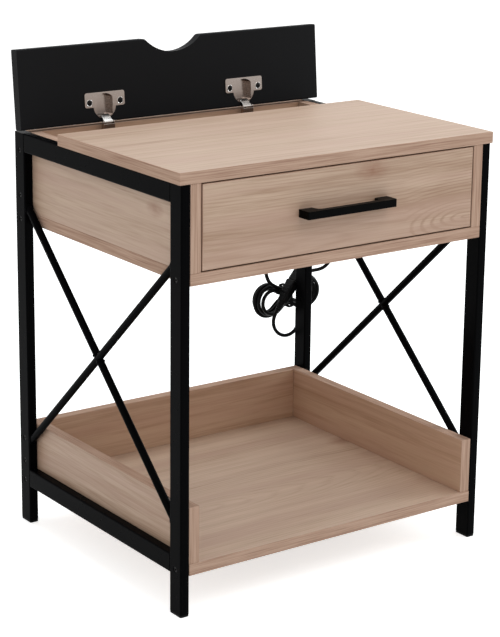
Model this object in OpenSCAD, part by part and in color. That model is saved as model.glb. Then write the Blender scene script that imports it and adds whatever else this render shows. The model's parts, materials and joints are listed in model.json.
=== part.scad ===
// Nightstand: two welded steel side frames carry a boarded case with a drawer,
// an open tray below, and a cable compartment behind the top with a hinged flap.
// The flap stands open. X runs to the right, Y to the back and Z up. The origin is
// on the floor, midway between the handle's front and the back of the legs.

/* [Overall] */
// Width over the two side frames
frame_w = 480; // [460:5:520]
// Depth of the side frames
frame_d = 400; // [395:5:430]
// Height of the top's upper face above the floor
top_z = 560; // [550:5:600]

/* [Steel frames] */
// Width of the frame tube across the nightstand
tube_w = 13; // [12:1:15]
// Depth of the frame tube from front to back, and height of the rails
tube_d = 25; // [22:1:28]
// Wall of the frame tube
tube_wall = 1.2; // [1:0.1:1.5]
// Outer corner radius of the frame tube
tube_r = 2; // [1.6:0.2:3]
// Diameter of the brace rods
brace_dia = 10; // [8:1:11]
// Height where a brace meets a leg at its lower end, above the tray's underside
brace_over_tray = 68.5; // [65:0.5:80]
// Height where a brace meets a leg at its upper end, above the case's underside
brace_over_case = 22; // [10:1:30]
// Gap that the weld fills where a half brace meets the long one
weld_gap = 0.2; // [0.1:0.05:0.3]
// Thickness of the plastic glide under each leg
glide_h = 3; // [2:0.5:5]

/* [Boards] */
// Thickness of the boards
board_t = 15; // [14:1:18]
// How far the top board stands out over each side frame
top_side_over = 3; // [1:1:8]
// How far the top board stands out over the legs in front
top_front_over = 1; // [0:1:4]
// Height of the case, from its underside to the underside of the top
case_h = 124; // [120:1:135]
// Height of the underside of the tray and of the bottom rails
tray_under_z = 53; // [45:1:60]
// Height of the tray's walls above its floor
tray_wall_h = 74; // [60:2:90]
// How far the tray's side walls stand back from the legs' front
tray_wall_inset = 1; // [0:1:4]
// How far the back boards stand in from the back of the legs
back_inset = 5; // [3:1:7]

/* [Drawer] */
// Gap round the drawer front
front_gap = 2; // [1.5:0.5:3]
// Thickness of the drawer's sides and back
drawer_wall = 12; // [10:1:12]
// Gap between the drawer's sides and the top above them
drawer_top_gap = 17; // [12:1:30]
// Height of the drawer's sides above the case floor
drawer_lift = 12; // [8:1:16]
// Clearance between the drawer and the divider behind it
drawer_rear_gap = 6.5; // [5:0.5:30]
// Height of the drawer's floor above the lower edge of its sides
drawer_floor_up = 10; // [8:1:14]
// Thickness of the drawer's floor
drawer_floor_t = 4; // [3:1:5]
// Depth of the groove that holds the drawer's floor
groove = 5; // [4:1:6]
// Clearance of the drawer's floor in its groove
groove_gap = 0.15; // [0.1:0.05:0.25]

/* [Runners] */
// How far a runner stops short of the drawer's two ends
runner_inset = 0.5; // [0.5:0.5:5]
// Space that a runner fills beside the drawer
runner_t = 12.7; // [12.7:0.1:13]
// Height of the cabinet member of a runner
runner_h = 45; // [42:1:46]
// Thickness of the runner's steel
runner_wall = 1.2; // [1:0.1:1.3]
// Reach of the cabinet member from the case's side
cabinet_tip = 10; // [9.5:0.1:10.2]
// Place of the middle member's web from the case's side
middle_web = 2; // [1.6:0.1:2.4]
// Reach of the middle member from the case's side
middle_tip = 11; // [10.6:0.1:11.2]
// Place of the drawer member's edge from the case's side
drawer_tip = 4.4; // [4:0.1:5]
// Height of the lips that keep the balls in the cabinet member
cabinet_lip = 1; // [0.5:0.1:1.5]
// Height of the lips that keep the balls in the other members
inner_lip = 0.4; // [0.3:0.1:0.8]
// Place of the outer balls from the case's side
outer_ball_in = 5.5; // [5.3:0.1:6]
// Place of the inner balls from the case's side
inner_ball_in = 7.6; // [7.4:0.1:8]
// Distance of a runner's screws from its ends
runner_screw_in = 30; // [20:5:60]
// Thickness of a ball cage's strip
cage_t = 0.8; // [0.6:0.1:1]
// Gap between a ball cage and the runner's end
cage_end = 4; // [3:1:10]
// Diameter of the runner's balls
ball_dia = 3.2; // [3:0.1:3.4]
// Clearance between a ball and its track
ball_gap = 0.15; // [0.1:0.05:0.2]
// Balls in each cage
balls = 5; // [3:1:7]

/* [Handle] */
// Length of the handle
handle_len = 138; // [136:2:160]
// Height of the handle
handle_h = 10; // [9:1:14]
// How far the handle stands out from the drawer front
handle_proj = 20; // [18:1:26]
// Thickness of the handle's bar
bar_t = 8; // [6:1:9]
// Width of a handle foot on the drawer front
foot_w = 20; // [14:1:22]
// Distance between the handle's two screws
handle_pitch = 124; // [122:2:126]
// Radius inside the handle's corners
handle_in_r = 8; // [5:1:9]

/* [Flap] */
// Depth of the flap from its front edge to its hinge edge
flap_d = 106; // [100:1:112]
// Thickness of the flap
flap_t = 14.5; // [14:0.5:15]
// Gap between the closed flap and the top board
flap_gap = 2.5; // [2:0.5:4]
// Radius of the flap's long edges
flap_edge_r = 2.5; // [2.5:0.5:4]
// Radius of the cable notch
notch_r = 63; // [55:1:70]
// Depth of the cable notch
notch_deep = 20; // [15:1:24]
// Radius of the notch's shoulders
notch_lip_r = 6; // [4:1:8]

/* [Hinges] */
// Distance of each hinge from the middle
hinge_x = 114; // [100:2:150]
// Angle that the flap opens to
open_angle = 95; // [90:1:95]
// Distance of the arm's pin in front of the back board
arm_pin_in = 11; // [10.5:0.5:11.5]
// Height of the arm's pin above the top edge of the case
arm_pin_up = 4.5; // [4:0.5:5]
// Distance between the pins of a link
link_len = 12.75; // [12.5:0.25:13]
// Rise of a link towards the cup's pin with the flap open
link_open = 34.5; // [33:0.5:36]
// Rise of a link towards the cup's pin with the flap closed
link_closed = -5; // [-6:0.5:-4]
// Distance of the cup's pin from the flap's hinge edge
cup_pin_in = 8.3; // [8:0.1:8.6]
// Depth of the cup's pin below the flap's inner face
cup_pin_deep = 2.9; // [2.7:0.1:3.2]
// Diameter of a hinge cup
cup_dia = 35; // [35:1:36]
// Depth of a hinge cup
cup_deep = 11; // [10.5:0.5:11.5]
// Distance of the cup's rim from the flap's hinge edge
cup_edge = 4.5; // [4:0.5:5]
// Distance between the two screws of a cup
cup_screw_pitch = 48; // [45:1:48]
// Reach of a cup's flange beyond the cup's far side
flange_over = 1; // [0.5:0.25:2]
// Reach of a cup's flange from its screws towards the hinge edge
flange_near = 6.5; // [6:0.5:8]
// Distance of the cup's screws beyond the cup's middle
cup_screw_up = 5; // [4:0.5:6]
// Diameter of the hinge pins
pin_dia = 2; // [1.8:0.1:2.2]
// Running gap of the hinge's moving pieces
hinge_gap = 0.2; // [0.15:0.05:0.3]
// Width of a link
link_w = 13; // [11:1:14]
// Width of an arm
arm_w = 17; // [16:1:19]

/* [Screws] */
// Diameter of the frame screws
frame_screw_dia = 5; // [4:0.5:6]
// Diameter of the frame screws' heads
frame_head_dia = 7; // [6.5:0.5:8]
// Depth of the frame screws in the boards
frame_screw_in = 30; // [20:5:40]
// Diameter of the small screws
small_screw_dia = 3.5; // [3:0.5:4]
// Diameter of the small screws' heads
small_head_dia = 6.6; // [6:0.2:7]
// Depth of the small screws in the boards
small_screw_in = 9; // [6:1:10]
// Diameter of the handle's screws
handle_screw_dia = 4; // [3:0.5:5]
// Depth of the handle's screws in its feet
handle_screw_in = 9; // [6:1:10]
// Height of the handle's screw heads
handle_head_h = 2.5; // [2:0.5:3]
// Height of a small screw's head
small_head_h = 0.5; // [0.4:0.1:0.6]
// How far a frame screw's head lies below the leg's face
head_inset = 0.8; // [0.4:0.1:1.1]
// Depth of the socket in a frame screw's head
head_socket = 3; // [2:0.5:5]
// Height of the back's lower and upper screws above the tray's floor
tray_screws_up = [21, 53];
// Height of the lower screw above the case's floor, and of the upper one below the top
case_screws_in = [25, 24];
// Clearance round a screw
screw_gap = 0.1; // [0.05:0.05:0.2]

/* [Power strip and cord] */
// Length of the power strip
strip_len = 170; // [150:5:180]
// Depth of the power strip
strip_d = 50; // [44:1:54]
// Height of the power strip
strip_h = 42; // [38:1:42]
// Middle of the power strip from the middle of the nightstand
strip_x = 100; // [90:5:105]
// Distance between the power strip's outlets
outlet_pitch = 50; // [42:2:56]
// Width of the rim round the power strip's face
strip_rim = 8; // [6:1:10]
// Depth of the face's recess
face_deep = 6; // [4:1:8]
// How far the face lies below the rim
face_sunk = 0.8; // [0.5:0.1:1.5]
// Gap round the face
face_gap = 0.2; // [0.1:0.1:0.3]
// Depth of the outlets and ports in the face
slot_deep = 4; // [3:0.5:5]
// Distance of the cord from the power strip's middle
cord_out = 60; // [40:5:70]
// Diameter of the cord
cord_dia = 5.5; // [5:0.1:5.5]
// Outer diameter of the cord grip where it leaves the back
grip_dia = 15; // [13:1:18]
// Length of the cord grip's taper
grip_len = 22; // [20:1:26]

/* [Hidden] */
$fn = 32;

// Planes of the frames
rear_y = (frame_d + handle_proj) / 2;
front_y = rear_y - frame_d;
frame_x = frame_w / 2;
inner_x = frame_x - tube_w;
leg_mid_x = frame_x - tube_w / 2;
deck_z = top_z - board_t;
rail_top_z = deck_z - tube_d;
case_under_z = deck_z - case_h;
leg_front_mid_y = front_y + tube_d / 2;
leg_rear_mid_y = rear_y - tube_d / 2;
brace_low_z = tray_under_z + brace_over_tray;
brace_high_z = case_under_z + brace_over_case;
brace_mid_z = (brace_low_z + brace_high_z) / 2;
brace_run = frame_d - 2 * tube_d;
brace_tilt = atan2(brace_high_z - brace_low_z, brace_run);
mid_y = (front_y + rear_y) / 2;

// Planes of the boards
case_floor_z = case_under_z + board_t;
case_in_x = inner_x - board_t;
back_out_y = rear_y - back_inset;
back_in_y = back_out_y - board_t;
back_mid_y = back_out_y - board_t / 2;
tray_floor_z = tray_under_z + board_t;
tray_top_z = tray_floor_z + tray_wall_h;

// Hinge pins, worked out with the flap closed and with it open
arm_pin = [back_in_y - arm_pin_in, deck_z + arm_pin_up];
cup_pin_closed = arm_pin + link_len * [cos(link_closed), sin(link_closed)];
cup_pin_open = arm_pin + link_len * [cos(link_open), sin(link_open)];
flap_rear_y = cup_pin_closed[0] + cup_pin_in;
flap_under_z = cup_pin_closed[1] - cup_pin_deep;
flap_front_y = flap_rear_y - flap_d;
flap_w = frame_w + 2 * top_side_over;
top_rear_y = flap_front_y - flap_gap;
cup_y = flap_rear_y - cup_edge - cup_dia / 2;
cup_screw_y = cup_y - cup_screw_up;

// Screw heights, taken at the middle of the boards that they hold
tray_screw_z = tray_under_z + board_t / 2;
case_screw_z = case_under_z + board_t / 2;
tray_back_screw_z = [tray_floor_z + tray_screws_up[0], tray_floor_z + tray_screws_up[1]];
case_back_screw_z = [case_floor_z + case_screws_in[0], deck_z - case_screws_in[1]];
rear_screw_z = concat([tray_screw_z, case_screw_z], tray_back_screw_z, case_back_screw_z);
front_screw_z = [tray_screw_z, case_screw_z];

// Drawer and runners
drawer_z = case_floor_z + drawer_lift;
drawer_out_x = case_in_x - runner_t;
drawer_front_in_y = front_y + board_t;
drawer_rear_y = top_rear_y - board_t - drawer_rear_gap;
drawer_wall_h = deck_z - drawer_top_gap - drawer_z;
drawer_floor_z = drawer_z + drawer_floor_up;
front_bottom_z = case_floor_z + front_gap;
front_top_z = deck_z - front_gap;
handle_z = (front_bottom_z + front_top_z) / 2;
runner_z = drawer_z + drawer_wall_h / 2;
runner_y = drawer_front_in_y + runner_inset;
runner_len = drawer_rear_y - runner_inset - runner_y;
track = ball_dia + 2 * ball_gap;
middle_h = runner_h - 2 * (runner_wall + track);
inner_h = middle_h - 2 * (runner_wall + track);
cage_len = runner_len / 2 - 3 * cage_end;
runner_screw_y = [runner_y + runner_screw_in, runner_y + runner_len - runner_screw_in];

// Notch shoulder, tangent to the flap's edge and to the notch
notch_up = notch_r - notch_deep;
lip_x = sqrt(pow(notch_r + notch_lip_r, 2) - pow(notch_up + notch_lip_r, 2));
lip_share = notch_r / (notch_r + notch_lip_r);

// Sizes of a hinge
flange_w = cup_screw_pitch + 14;
flange_d = flange_over + cup_dia / 2 - cup_screw_up + flange_near;
flange_t = 1;
flange_r = 3;
cup_wall = 1;
cup_slot_w = arm_w + 7;
cup_pin_half = 9.6;
barrel_dia = pin_dia + 2.2;
link_t = 1.5;
arm_wall = 1.4;
arm_eye_dia = 5.2;
arm_deep = arm_pin_in;
plate_z = deck_z - 37;
plate_t = 2;
plate_w = 46;
plate_h = 14;
plate_screw_half = 16;
rib_w = arm_w - 2 * arm_wall - 2 * hinge_gap;
rib_h = 5;

// Outlets and charging ports
blade_gap = 12.7;
blade_t = 1.8;
blade_h = 8;
earth_dia = 5;
earth_down = 11;
port_w = 13;
port_h = 5.5;

// Cord grip, and the tip where the cord leaves it
grip_hole = cord_dia + 3.5;
grip_tip = [strip_x + cord_out, back_out_y + grip_len, case_floor_z + strip_h / 2];

// Cord route from the grip's tip to the hank, bulging to the right
lead_steps = [
    [0, 0, 0], [0.2, 9.5, -0.1], [2.9, 18.6, -0.8], [8.3, 26.2, -2.8], [14.9, 31.8, -6.6],
    [21.7, 35.3, -12.4], [27.9, 36.5, -19.5], [33.9, 36.4, -26.9], [40, 35.5, -34.2],
    [46.4, 34.4, -41.2], [53.3, 33.3, -47.7], [60.8, 32.5, -53.5], [68.8, 32, -58.8],
    [77, 31.8, -63.7], [85.1, 31.7, -68.6], [93, 31.3, -74], [100.1, 30.4, -80.3],
    [106.4, 29.1, -87.3], [112, 27.5, -94.9], [117.1, 25.7, -102.8], [122.2, 24, -110.7],
    [127.7, 22.7, -118.4], [133.7, 21.7, -125.6], [140.4, 20.8, -132.4], [147.3, 19.7, -139],
    [153.5, 18.4, -146.1], [157.6, 16.8, -154.5], [158.4, 15.4, -163.9], [155.9, 15.2, -173],
    [150.6, 17, -180.6], [143.3, 20.4, -185.6], [134.8, 24.3, -187.6], [125.5, 26.4, -188.3]
];

// The hank hangs behind the right rear leg
hank_mid = grip_tip + [76, 17.5, -217];
hank_tilt = 6;
fold_r = 16.5;
waist_r = 27;
waist_half = 3.15;
turn_step = 6.3;
layer_step = 6.1;
loop_rings = 24;
hank_from = -3.5;
hank_to = 121.5;
reversals = [24, 60, 96];
climb_rings = 3;

// Cord route from the hank up, over and down to the plug, from the hank's middle
tail_steps = [
    [-34.2, -9.2, 24.4], [-39.5, -9.5, 29.9], [-43.1, -9.9, 36.5], [-45.2, -10.4, 43.7],
    [-45.6, -11.1, 51.2], [-44.3, -11.8, 58.6], [-41.5, -12.5, 65.6], [-37.2, -13.3, 71.8],
    [-31.7, -14, 76.9], [-25.2, -14.7, 80.7], [-18.2, -15.4, 83.4], [-10.7, -16.1, 84.6],
    [-3.2, -16.7, 84.4], [4.1, -17.3, 82.5], [10.7, -17.9, 78.9], [16.3, -18.4, 73.9],
    [20.7, -18.8, 67.8], [23.8, -19.2, 60.9], [25.8, -19.6, 53.6], [26.8, -19.9, 46.1],
    [27.1, -20.2, 38.6], [26.7, -20.5, 31], [25.7, -20.8, 23.5], [24.1, -21.2, 16.1],
    [22.1, -21.5, 8.8], [19.8, -21.9, 1.7], [17.3, -22.3, -5.5], [14.9, -22.6, -12.6],
    [12.7, -22.8, -19.9], [10.6, -23.1, -27.1], [8.3, -23.2, -34.4], [5.3, -23.3, -41.3],
    [1, -23.5, -47.4], [-5.1, -23.6, -51.9], [-12.3, -23.7, -54], [-19.8, -23.8, -53.7],
    [-26.9, -23.8, -51.1], [-32.9, -23.7, -46.6], [-37.4, -23.7, -40.5], [-39.8, -23.7, -33.4],
    [-39.8, -23.7, -25.8], [-37.2, -23.7, -18.8]
];

// The plug lies on the hank's front with its prongs up, and plug_base is its cord end
plug_tilt = 35;
plug_base = hank_mid + [-33, -23.7, -12.5];
plug_w = 20;
plug_t = 13;
plug_len = 36;
plug_neck = 14;
prong_len = 17;
prong_w = 6.4;
prong_t = 1.6;
prong_gap = 12.7;

// Vector helpers for the swept cord
function unit(v) = v / norm(v);
function sum(v, i = 0) = i >= len(v) ? 0 : v[i] + sum(v, i + 1);
function route_len(p) = sum([for (i = [1 : len(p) - 1]) norm(p[i] - p[i - 1])]);
function tangent(p, i) = unit(p[min(i + 1, len(p) - 1)] - p[max(i - 1, 0)]);
function across(t, n) = unit(n - (n * t) * t);
function first_across(t) = across(t, abs(t[2]) < 0.9 ? [0, 0, 1] : [1, 0, 0]);
function on_circle(r, a) = r * [cos(a), sin(a)];

// The hank's loop is a pair of folds with waist arcs between them. Place q counts
// rings round the loop from the middle of the waist's upper side, and grow widens it.
waist_up = waist_r + waist_half;
fold_x = sqrt(pow(fold_r + waist_r, 2) - pow(waist_up, 2));
lean = atan2(waist_up, fold_x);
waist_turn = (90 - lean) / 1.5;
fold_turn = (360 - 2 * lean) / (loop_rings / 2 - 3);
function loop_at(q, grow) =
    q <= 1.5 ? [0, waist_up] + on_circle(waist_r - grow, -90 - q * waist_turn)
    : q < 10.5 ? [-fold_x, 0] + on_circle(fold_r + grow, lean + (q - 1.5) * fold_turn)
    : q <= 13.5 ? [0, -waist_up] + on_circle(waist_r - grow, 90 - (q - 12) * waist_turn)
    : q < 22.5 ? [fold_x, 0] + on_circle(fold_r + grow, lean - 180 + (q - 13.5) * fold_turn)
    : loop_at(q - loop_rings, grow);

// It spirals in and out in four layers, and climbs where the spiral reverses
function hank_grow(s) =
    turn_step / loop_rings * (
        s <= reversals[0] ? reversals[0] - s
        : s <= reversals[1] ? s - reversals[0]
        : abs(s - reversals[2])
    );
function hank_climb(s) =
    sum([for (r = reversals) max(0, min(1, (s - r) / climb_rings + 0.5))]);
function hank_at(s) =
    let (
        q = s - loop_rings * floor(s / loop_rings),
        p = loop_at(q, hank_grow(s)),
        y = layer_step * (1.5 - hank_climb(s))
    )
        hank_mid + [
            p[0] * cos(hank_tilt) - p[1] * sin(hank_tilt), y,
            p[0] * sin(hank_tilt) + p[1] * cos(hank_tilt)
        ];
wound = [for (s = [hank_from : hank_to]) hank_at(s)];
hank_in = unit(wound[1] - wound[0]);
hank_out = unit(wound[len(wound) - 1] - wound[len(wound) - 2]);
hank_start = wound[0] - cord_dia * hank_in;
hank_end = wound[len(wound) - 1] + cord_dia * hank_out;
hank_pts = concat([hank_start], wound, [hank_end]);

// The free stretches meet the hank and the plug square, face to face
lead_pts = concat(
    [for (p = lead_steps) grip_tip + p], [hank_start - 4 * hank_in, hank_start]
);
plug_axis = [sin(plug_tilt), 0, cos(plug_tilt)];
tail_pts = concat(
    [hank_end, hank_end + 4 * hank_out], [for (p = tail_steps) hank_mid + p],
    [plug_base - 4 * plug_axis, plug_base]
);

// Least distance between two straight pieces of the cord
function clamp01(x) = max(0, min(1, x));
function piece_gap(p, p2, q, q2) =
    let (
        d = p2 - p, e = q2 - q, r = p - q,
        a = d * d, b = d * e, c = d * r, f = e * r, g = e * e,
        den = a * g - b * b,
        s0 = den < 0.000001 ? 0 : clamp01((b * f - c * g) / den),
        t0 = (b * s0 + f) / g,
        t = clamp01(t0),
        s = t == t0 ? s0 : clamp01((b * t - c) / a)
    )
        norm(r + s * d - t * e);
function hank_least(p) = min([
    for (i = [0 : len(p) - 6], j = [i + 4 : len(p) - 2])
        if (norm(p[i] - p[j]) < 30) piece_gap(p[i], p[i + 1], p[j], p[j + 1])
]);
echo(lead_length = route_len(lead_pts), tail_length = route_len(tail_pts));
echo(hank_length = route_len(hank_pts), hank_gap = hank_least(hank_pts) - cord_dia);

// One round tube swept along points, with flat ends
module swept(p, d, sides) {
    last = len(p) - 1;
    normals = [
        for (i = 0, n = first_across(tangent(p, 0));
            i <= last;
            i = i + 1, n = across(tangent(p, min(i, last)), n)) n
    ];
    rings = [
        for (i = [0 : last], s = [0 : sides - 1])
            let (t = tangent(p, i), n = normals[i], b = cross(t, n), a = 360 * s / sides)
                p[i] + d / 2 * (cos(a) * n + sin(a) * b)
    ];
    wall = [
        for (i = [0 : last - 1], s = [0 : sides - 1])
            let (q = (s + 1) % sides, r = i * sides)
                each [[r + s, r + q, r + sides + s], [r + q, r + sides + q, r + sides + s]]
    ];
    far = last * sides;
    cap_a = [for (s = [1 : sides - 2]) [0, s + 1, s]];
    cap_b = [for (s = [1 : sides - 2]) [far, far + s, far + s + 1]];
    polyhedron(rings, concat(wall, cap_a, cap_b), convexity = 10);
}

// Copies a piece to the other side
module both_sides() {
    children();
    mirror([1, 0, 0]) children();
}

// Box given by its lowest and highest corners
module block(low, high) {
    translate(low) cube(high - low);
}

// Cylinder along X, from x1 to x2
module rod_x(x1, x2, y, z, d) {
    translate([x1, y, z]) rotate([0, 90, 0]) cylinder(h = x2 - x1, d = d);
}

// Cylinder along Y, from y1 to y2
module rod_y(y1, y2, x, z, d) {
    translate([x, y1, z]) rotate([-90, 0, 0]) cylinder(h = y2 - y1, d = d);
}

// Rectangle with round corners, about its middle
module round_rect(w, d, r) {
    square([w - 2 * r, d], center = true);
    square([w, d - 2 * r], center = true);
    for (x = [-1, 1], y = [-1, 1])
        translate([x * (w / 2 - r), y * (d / 2 - r)]) circle(r = r);
}

// Cross section of the frame tube, set in by a wall
module tube_shape(wall) {
    round_rect(tube_w - 2 * wall, tube_d - 2 * wall, tube_r - wall);
}

module tube_stock(len) {
    linear_extrude(len) difference() {
        tube_shape(0);
        tube_shape(tube_wall);
    }
}

// Leg, closed at the top, with a hole for each screw that passes through it
module leg(y, holes) {
    color("#1d1f21") difference() {
        union() {
            translate([-leg_mid_x, y, glide_h]) tube_stock(deck_z - glide_h);
            translate([-leg_mid_x, y, deck_z - tube_wall])
                linear_extrude(tube_wall)
                    tube_shape(tube_wall / 2);
        }
        for (z = holes) {
            rod_x(-frame_x - 1, -leg_mid_x, y, z, frame_head_dia + 2 * screw_gap);
            rod_x(-leg_mid_x, -inner_x + 1, y, z, frame_screw_dia + 2 * screw_gap);
        }
    }
}

module rail(z) {
    color("#1d1f21")
        translate([-leg_mid_x, rear_y - tube_d, z + tube_d / 2])
            rotate([90, 0, 0])
                tube_stock(brace_run);
}

// Rod through the middle of the frame, cut flush against the two legs
module brace_rod(side) {
    intersection() {
        translate([-leg_mid_x, mid_y, brace_mid_z])
            rotate([side * brace_tilt, 0, 0])
                rotate([90, 0, 0])
                    cylinder(h = 2 * brace_run, d = brace_dia, center = true);
        block(
            [-frame_x, front_y + tube_d, tray_under_z],
            [-inner_x, rear_y - tube_d, deck_z]
        );
    }
}

module brace_long() {
    color("#232527") brace_rod(-1);
}

// Two halves of the other brace, coped round the long one where they are welded
module brace_halves() {
    color("#232527") difference() {
        brace_rod(1);
        translate([-leg_mid_x, mid_y, brace_mid_z])
            rotate([-brace_tilt, 0, 0])
                rotate([90, 0, 0])
                    cylinder(h = 2 * brace_run, d = brace_dia + 2 * weld_gap, center = true);
    }
}

module left_leg_front() { leg(leg_front_mid_y, front_screw_z); }
module left_leg_rear() { leg(leg_rear_mid_y, rear_screw_z); }
module left_rail_top() { rail(rail_top_z); }
module left_rail_bottom() { rail(tray_under_z); }
module left_brace_long() { brace_long(); }
module left_brace_halves() { brace_halves(); }
module right_leg_front() { mirror([1, 0, 0]) left_leg_front(); }
module right_leg_rear() { mirror([1, 0, 0]) left_leg_rear(); }
module right_rail_top() { mirror([1, 0, 0]) left_rail_top(); }
module right_rail_bottom() { mirror([1, 0, 0]) left_rail_bottom(); }
module right_brace_long() { mirror([1, 0, 0]) brace_long(); }
module right_brace_halves() { mirror([1, 0, 0]) brace_halves(); }

// Plastic glide: a plug inside the tube and a flat foot under it
module foot_glides() {
    plug_h = 18;
    plug_gap = 0.15;
    color("#141516")
        for (x = [-1, 1], y = [leg_front_mid_y, leg_rear_mid_y])
            translate([x * leg_mid_x, y, 0]) {
                linear_extrude(glide_h) tube_shape(0.3);
                linear_extrude(plug_h) tube_shape(tube_wall + plug_gap);
            }
}

// Socket-head screw that goes in from the outside of a leg
module frame_screw(y, z, reach) {
    head_end = -frame_x + head_inset;
    color("#2b2d2f") difference() {
        union() {
            rod_x(head_end, -inner_x - tube_wall, y, z, frame_head_dia);
            rod_x(-inner_x - tube_wall, -inner_x + reach, y, z, frame_screw_dia);
        }
        translate([head_end - 1, y, z])
            rotate([0, 90, 0])
                cylinder(h = head_socket + 1, d = frame_head_dia / 2, $fn = 6);
    }
}

module frame_screws() {
    both_sides() {
        for (z = front_screw_z)
            frame_screw(leg_front_mid_y, z, frame_screw_in);
        for (z = front_screw_z)
            frame_screw(leg_rear_mid_y, z, frame_screw_in);
        for (z = concat(tray_back_screw_z, case_back_screw_z))
            frame_screw(leg_rear_mid_y, z, board_t + frame_screw_in);
    }
}

// Bores that the frame screws need in the boards, on both sides
module screw_bores(y, heights, reach) {
    both_sides()
        for (z = heights)
            rod_x(-inner_x - 1, -inner_x + reach + 1, y, z, frame_screw_dia + 2 * screw_gap);
}

module floor_board(under) {
    color("#d9cbbd") difference() {
        block([-inner_x, front_y, under], [inner_x, back_out_y, under + board_t]);
        for (y = [leg_front_mid_y, leg_rear_mid_y])
            screw_bores(y, [under + board_t / 2], frame_screw_in);
    }
}

module back_board(low, high, heights) {
    color("#c9b5a2") difference() {
        block([-case_in_x, back_in_y, low], [case_in_x, back_out_y, high]);
        screw_bores(leg_rear_mid_y, heights, board_t + frame_screw_in);
    }
}

module case_bottom() { floor_board(case_under_z); }
module tray_bottom() { floor_board(tray_under_z); }
module tray_back() { back_board(tray_floor_z, tray_top_z, tray_back_screw_z); }

module case_side_left() {
    color("#d9cbbd") difference() {
        block([-inner_x, front_y, case_floor_z], [-case_in_x, back_out_y, deck_z]);
        screw_bores(leg_rear_mid_y, case_back_screw_z, board_t);
        for (y = runner_screw_y)
            rod_x(-case_in_x - small_screw_in - 1, -case_in_x + 1, y, runner_z,
                small_screw_dia + 2 * screw_gap);
    }
}

module case_side_right() { mirror([1, 0, 0]) case_side_left(); }

// Back of the case, bored for the cord and for the screws of the hinge plates
module case_back() {
    color("#c9b5a2") difference() {
        back_board(case_floor_z, deck_z, case_back_screw_z);
        rod_y(back_in_y - 1, back_out_y + 1, grip_tip[0], grip_tip[2], grip_hole);
        for (side = [-1, 1], s = [-1, 1])
            rod_y(back_in_y - 1, back_in_y + small_screw_in + 1,
                side * hinge_x + s * plate_screw_half, plate_z,
                small_screw_dia + 2 * screw_gap);
    }
}

module case_divider() {
    color("#c9b5a2")
        block([-case_in_x, top_rear_y - board_t, case_floor_z], [case_in_x, top_rear_y, deck_z]);
}

module top_panel() {
    color("#ddd0c3")
        block(
            [-frame_x - top_side_over, front_y - top_front_over, deck_z],
            [frame_x + top_side_over, top_rear_y, top_z]
        );
}

module tray_side_left() {
    color("#d9cbbd") difference() {
        block(
            [-inner_x, front_y + tray_wall_inset, tray_floor_z],
            [-case_in_x, back_out_y, tray_top_z]
        );
        screw_bores(leg_rear_mid_y, tray_back_screw_z, board_t);
    }
}

module tray_side_right() { mirror([1, 0, 0]) tray_side_left(); }

// Runner sections, drawn with the cabinet's side at 0 and the drawer's side at runner_t
module channel(web_x, tip_x, high, lip) {
    half = high / 2;
    into = tip_x > web_x ? 1 : -1;
    web_2 = web_x + into * runner_wall;
    translate([min(web_x, web_2), -half]) square([runner_wall, high]);
    for (s = [-1, 1]) {
        translate([min(web_x, tip_x), s > 0 ? half - runner_wall : -half])
            square([abs(tip_x - web_x), runner_wall]);
        translate([min(tip_x, tip_x - into * runner_wall),
                s > 0 ? half - runner_wall - lip : -half + runner_wall])
            square([runner_wall, lip]);
    }
}

// Extrudes a runner section along Y on the left side of the drawer
module run_along(from, to) {
    translate([-case_in_x, to, runner_z]) rotate([90, 0, 0]) linear_extrude(to - from) children();
}

module runner_screw_holes(x, depth) {
    for (y = runner_screw_y)
        rod_x(x - depth, x + depth, y, runner_z, small_screw_dia + 2 * screw_gap);
}

module runner_left_cabinet() {
    color("#b9bcc0") difference() {
        run_along(runner_y, runner_y + runner_len) channel(0, cabinet_tip, runner_h, cabinet_lip);
        runner_screw_holes(-case_in_x, 3);
    }
}

module runner_left_middle() {
    color("#aeb1b5")
        run_along(runner_y, runner_y + runner_len) channel(middle_web, middle_tip, middle_h, inner_lip);
}

module runner_left_drawer() {
    color("#b9bcc0") difference() {
        run_along(runner_y, runner_y + runner_len) channel(runner_t, drawer_tip, inner_h, inner_lip);
        runner_screw_holes(-drawer_out_x, 3);
    }
}

// Ball cages: the outer ones start at the back and the inner ones at the front
module cage(from, ball_x, ball_z) {
    pitch = cage_len / balls;
    translate([-case_in_x + ball_x - ball_dia / 2, from, runner_z + ball_z - cage_t / 2])
        cube([ball_dia, cage_len, cage_t]);
    for (i = [0 : balls - 1])
        translate([-case_in_x + ball_x, from + (i + 0.5) * pitch, runner_z + ball_z])
            sphere(d = ball_dia);
}

module runner_left_cages() {
    outer_z = (runner_h - track) / 2 - runner_wall;
    inner_z = (middle_h - track) / 2 - runner_wall;
    color("#d6d8da")
        for (s = [-1, 1]) {
            cage(runner_y + runner_len - cage_len - cage_end, outer_ball_in, s * outer_z);
            cage(runner_y + cage_end, inner_ball_in, s * inner_z);
        }
}

module runner_right_cabinet() { mirror([1, 0, 0]) runner_left_cabinet(); }
module runner_right_middle() { mirror([1, 0, 0]) runner_left_middle(); }
module runner_right_cages() { mirror([1, 0, 0]) runner_left_cages(); }
module runner_right_drawer() { mirror([1, 0, 0]) runner_left_drawer(); }

// Flat-head screw along X with its head's face at x and its point at x + way * reach
module side_screw(x, y, z, way, reach) {
    tip = x + way * reach;
    top = x - way * small_head_h;
    rod_x(min(x, tip), max(x, tip), y, z, small_screw_dia);
    rod_x(min(x, top), max(x, top), y, z, small_head_dia);
}

module runner_screws() {
    color("#8f9296") both_sides()
        for (y = runner_screw_y)
            side_screw(-case_in_x + runner_wall, y, runner_z, -1, small_screw_in + runner_wall);
}

module drawer_screws() {
    color("#8f9296") both_sides()
        for (y = runner_screw_y)
            side_screw(-drawer_out_x - runner_wall, y, runner_z, 1, small_screw_in + runner_wall);
}

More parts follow.
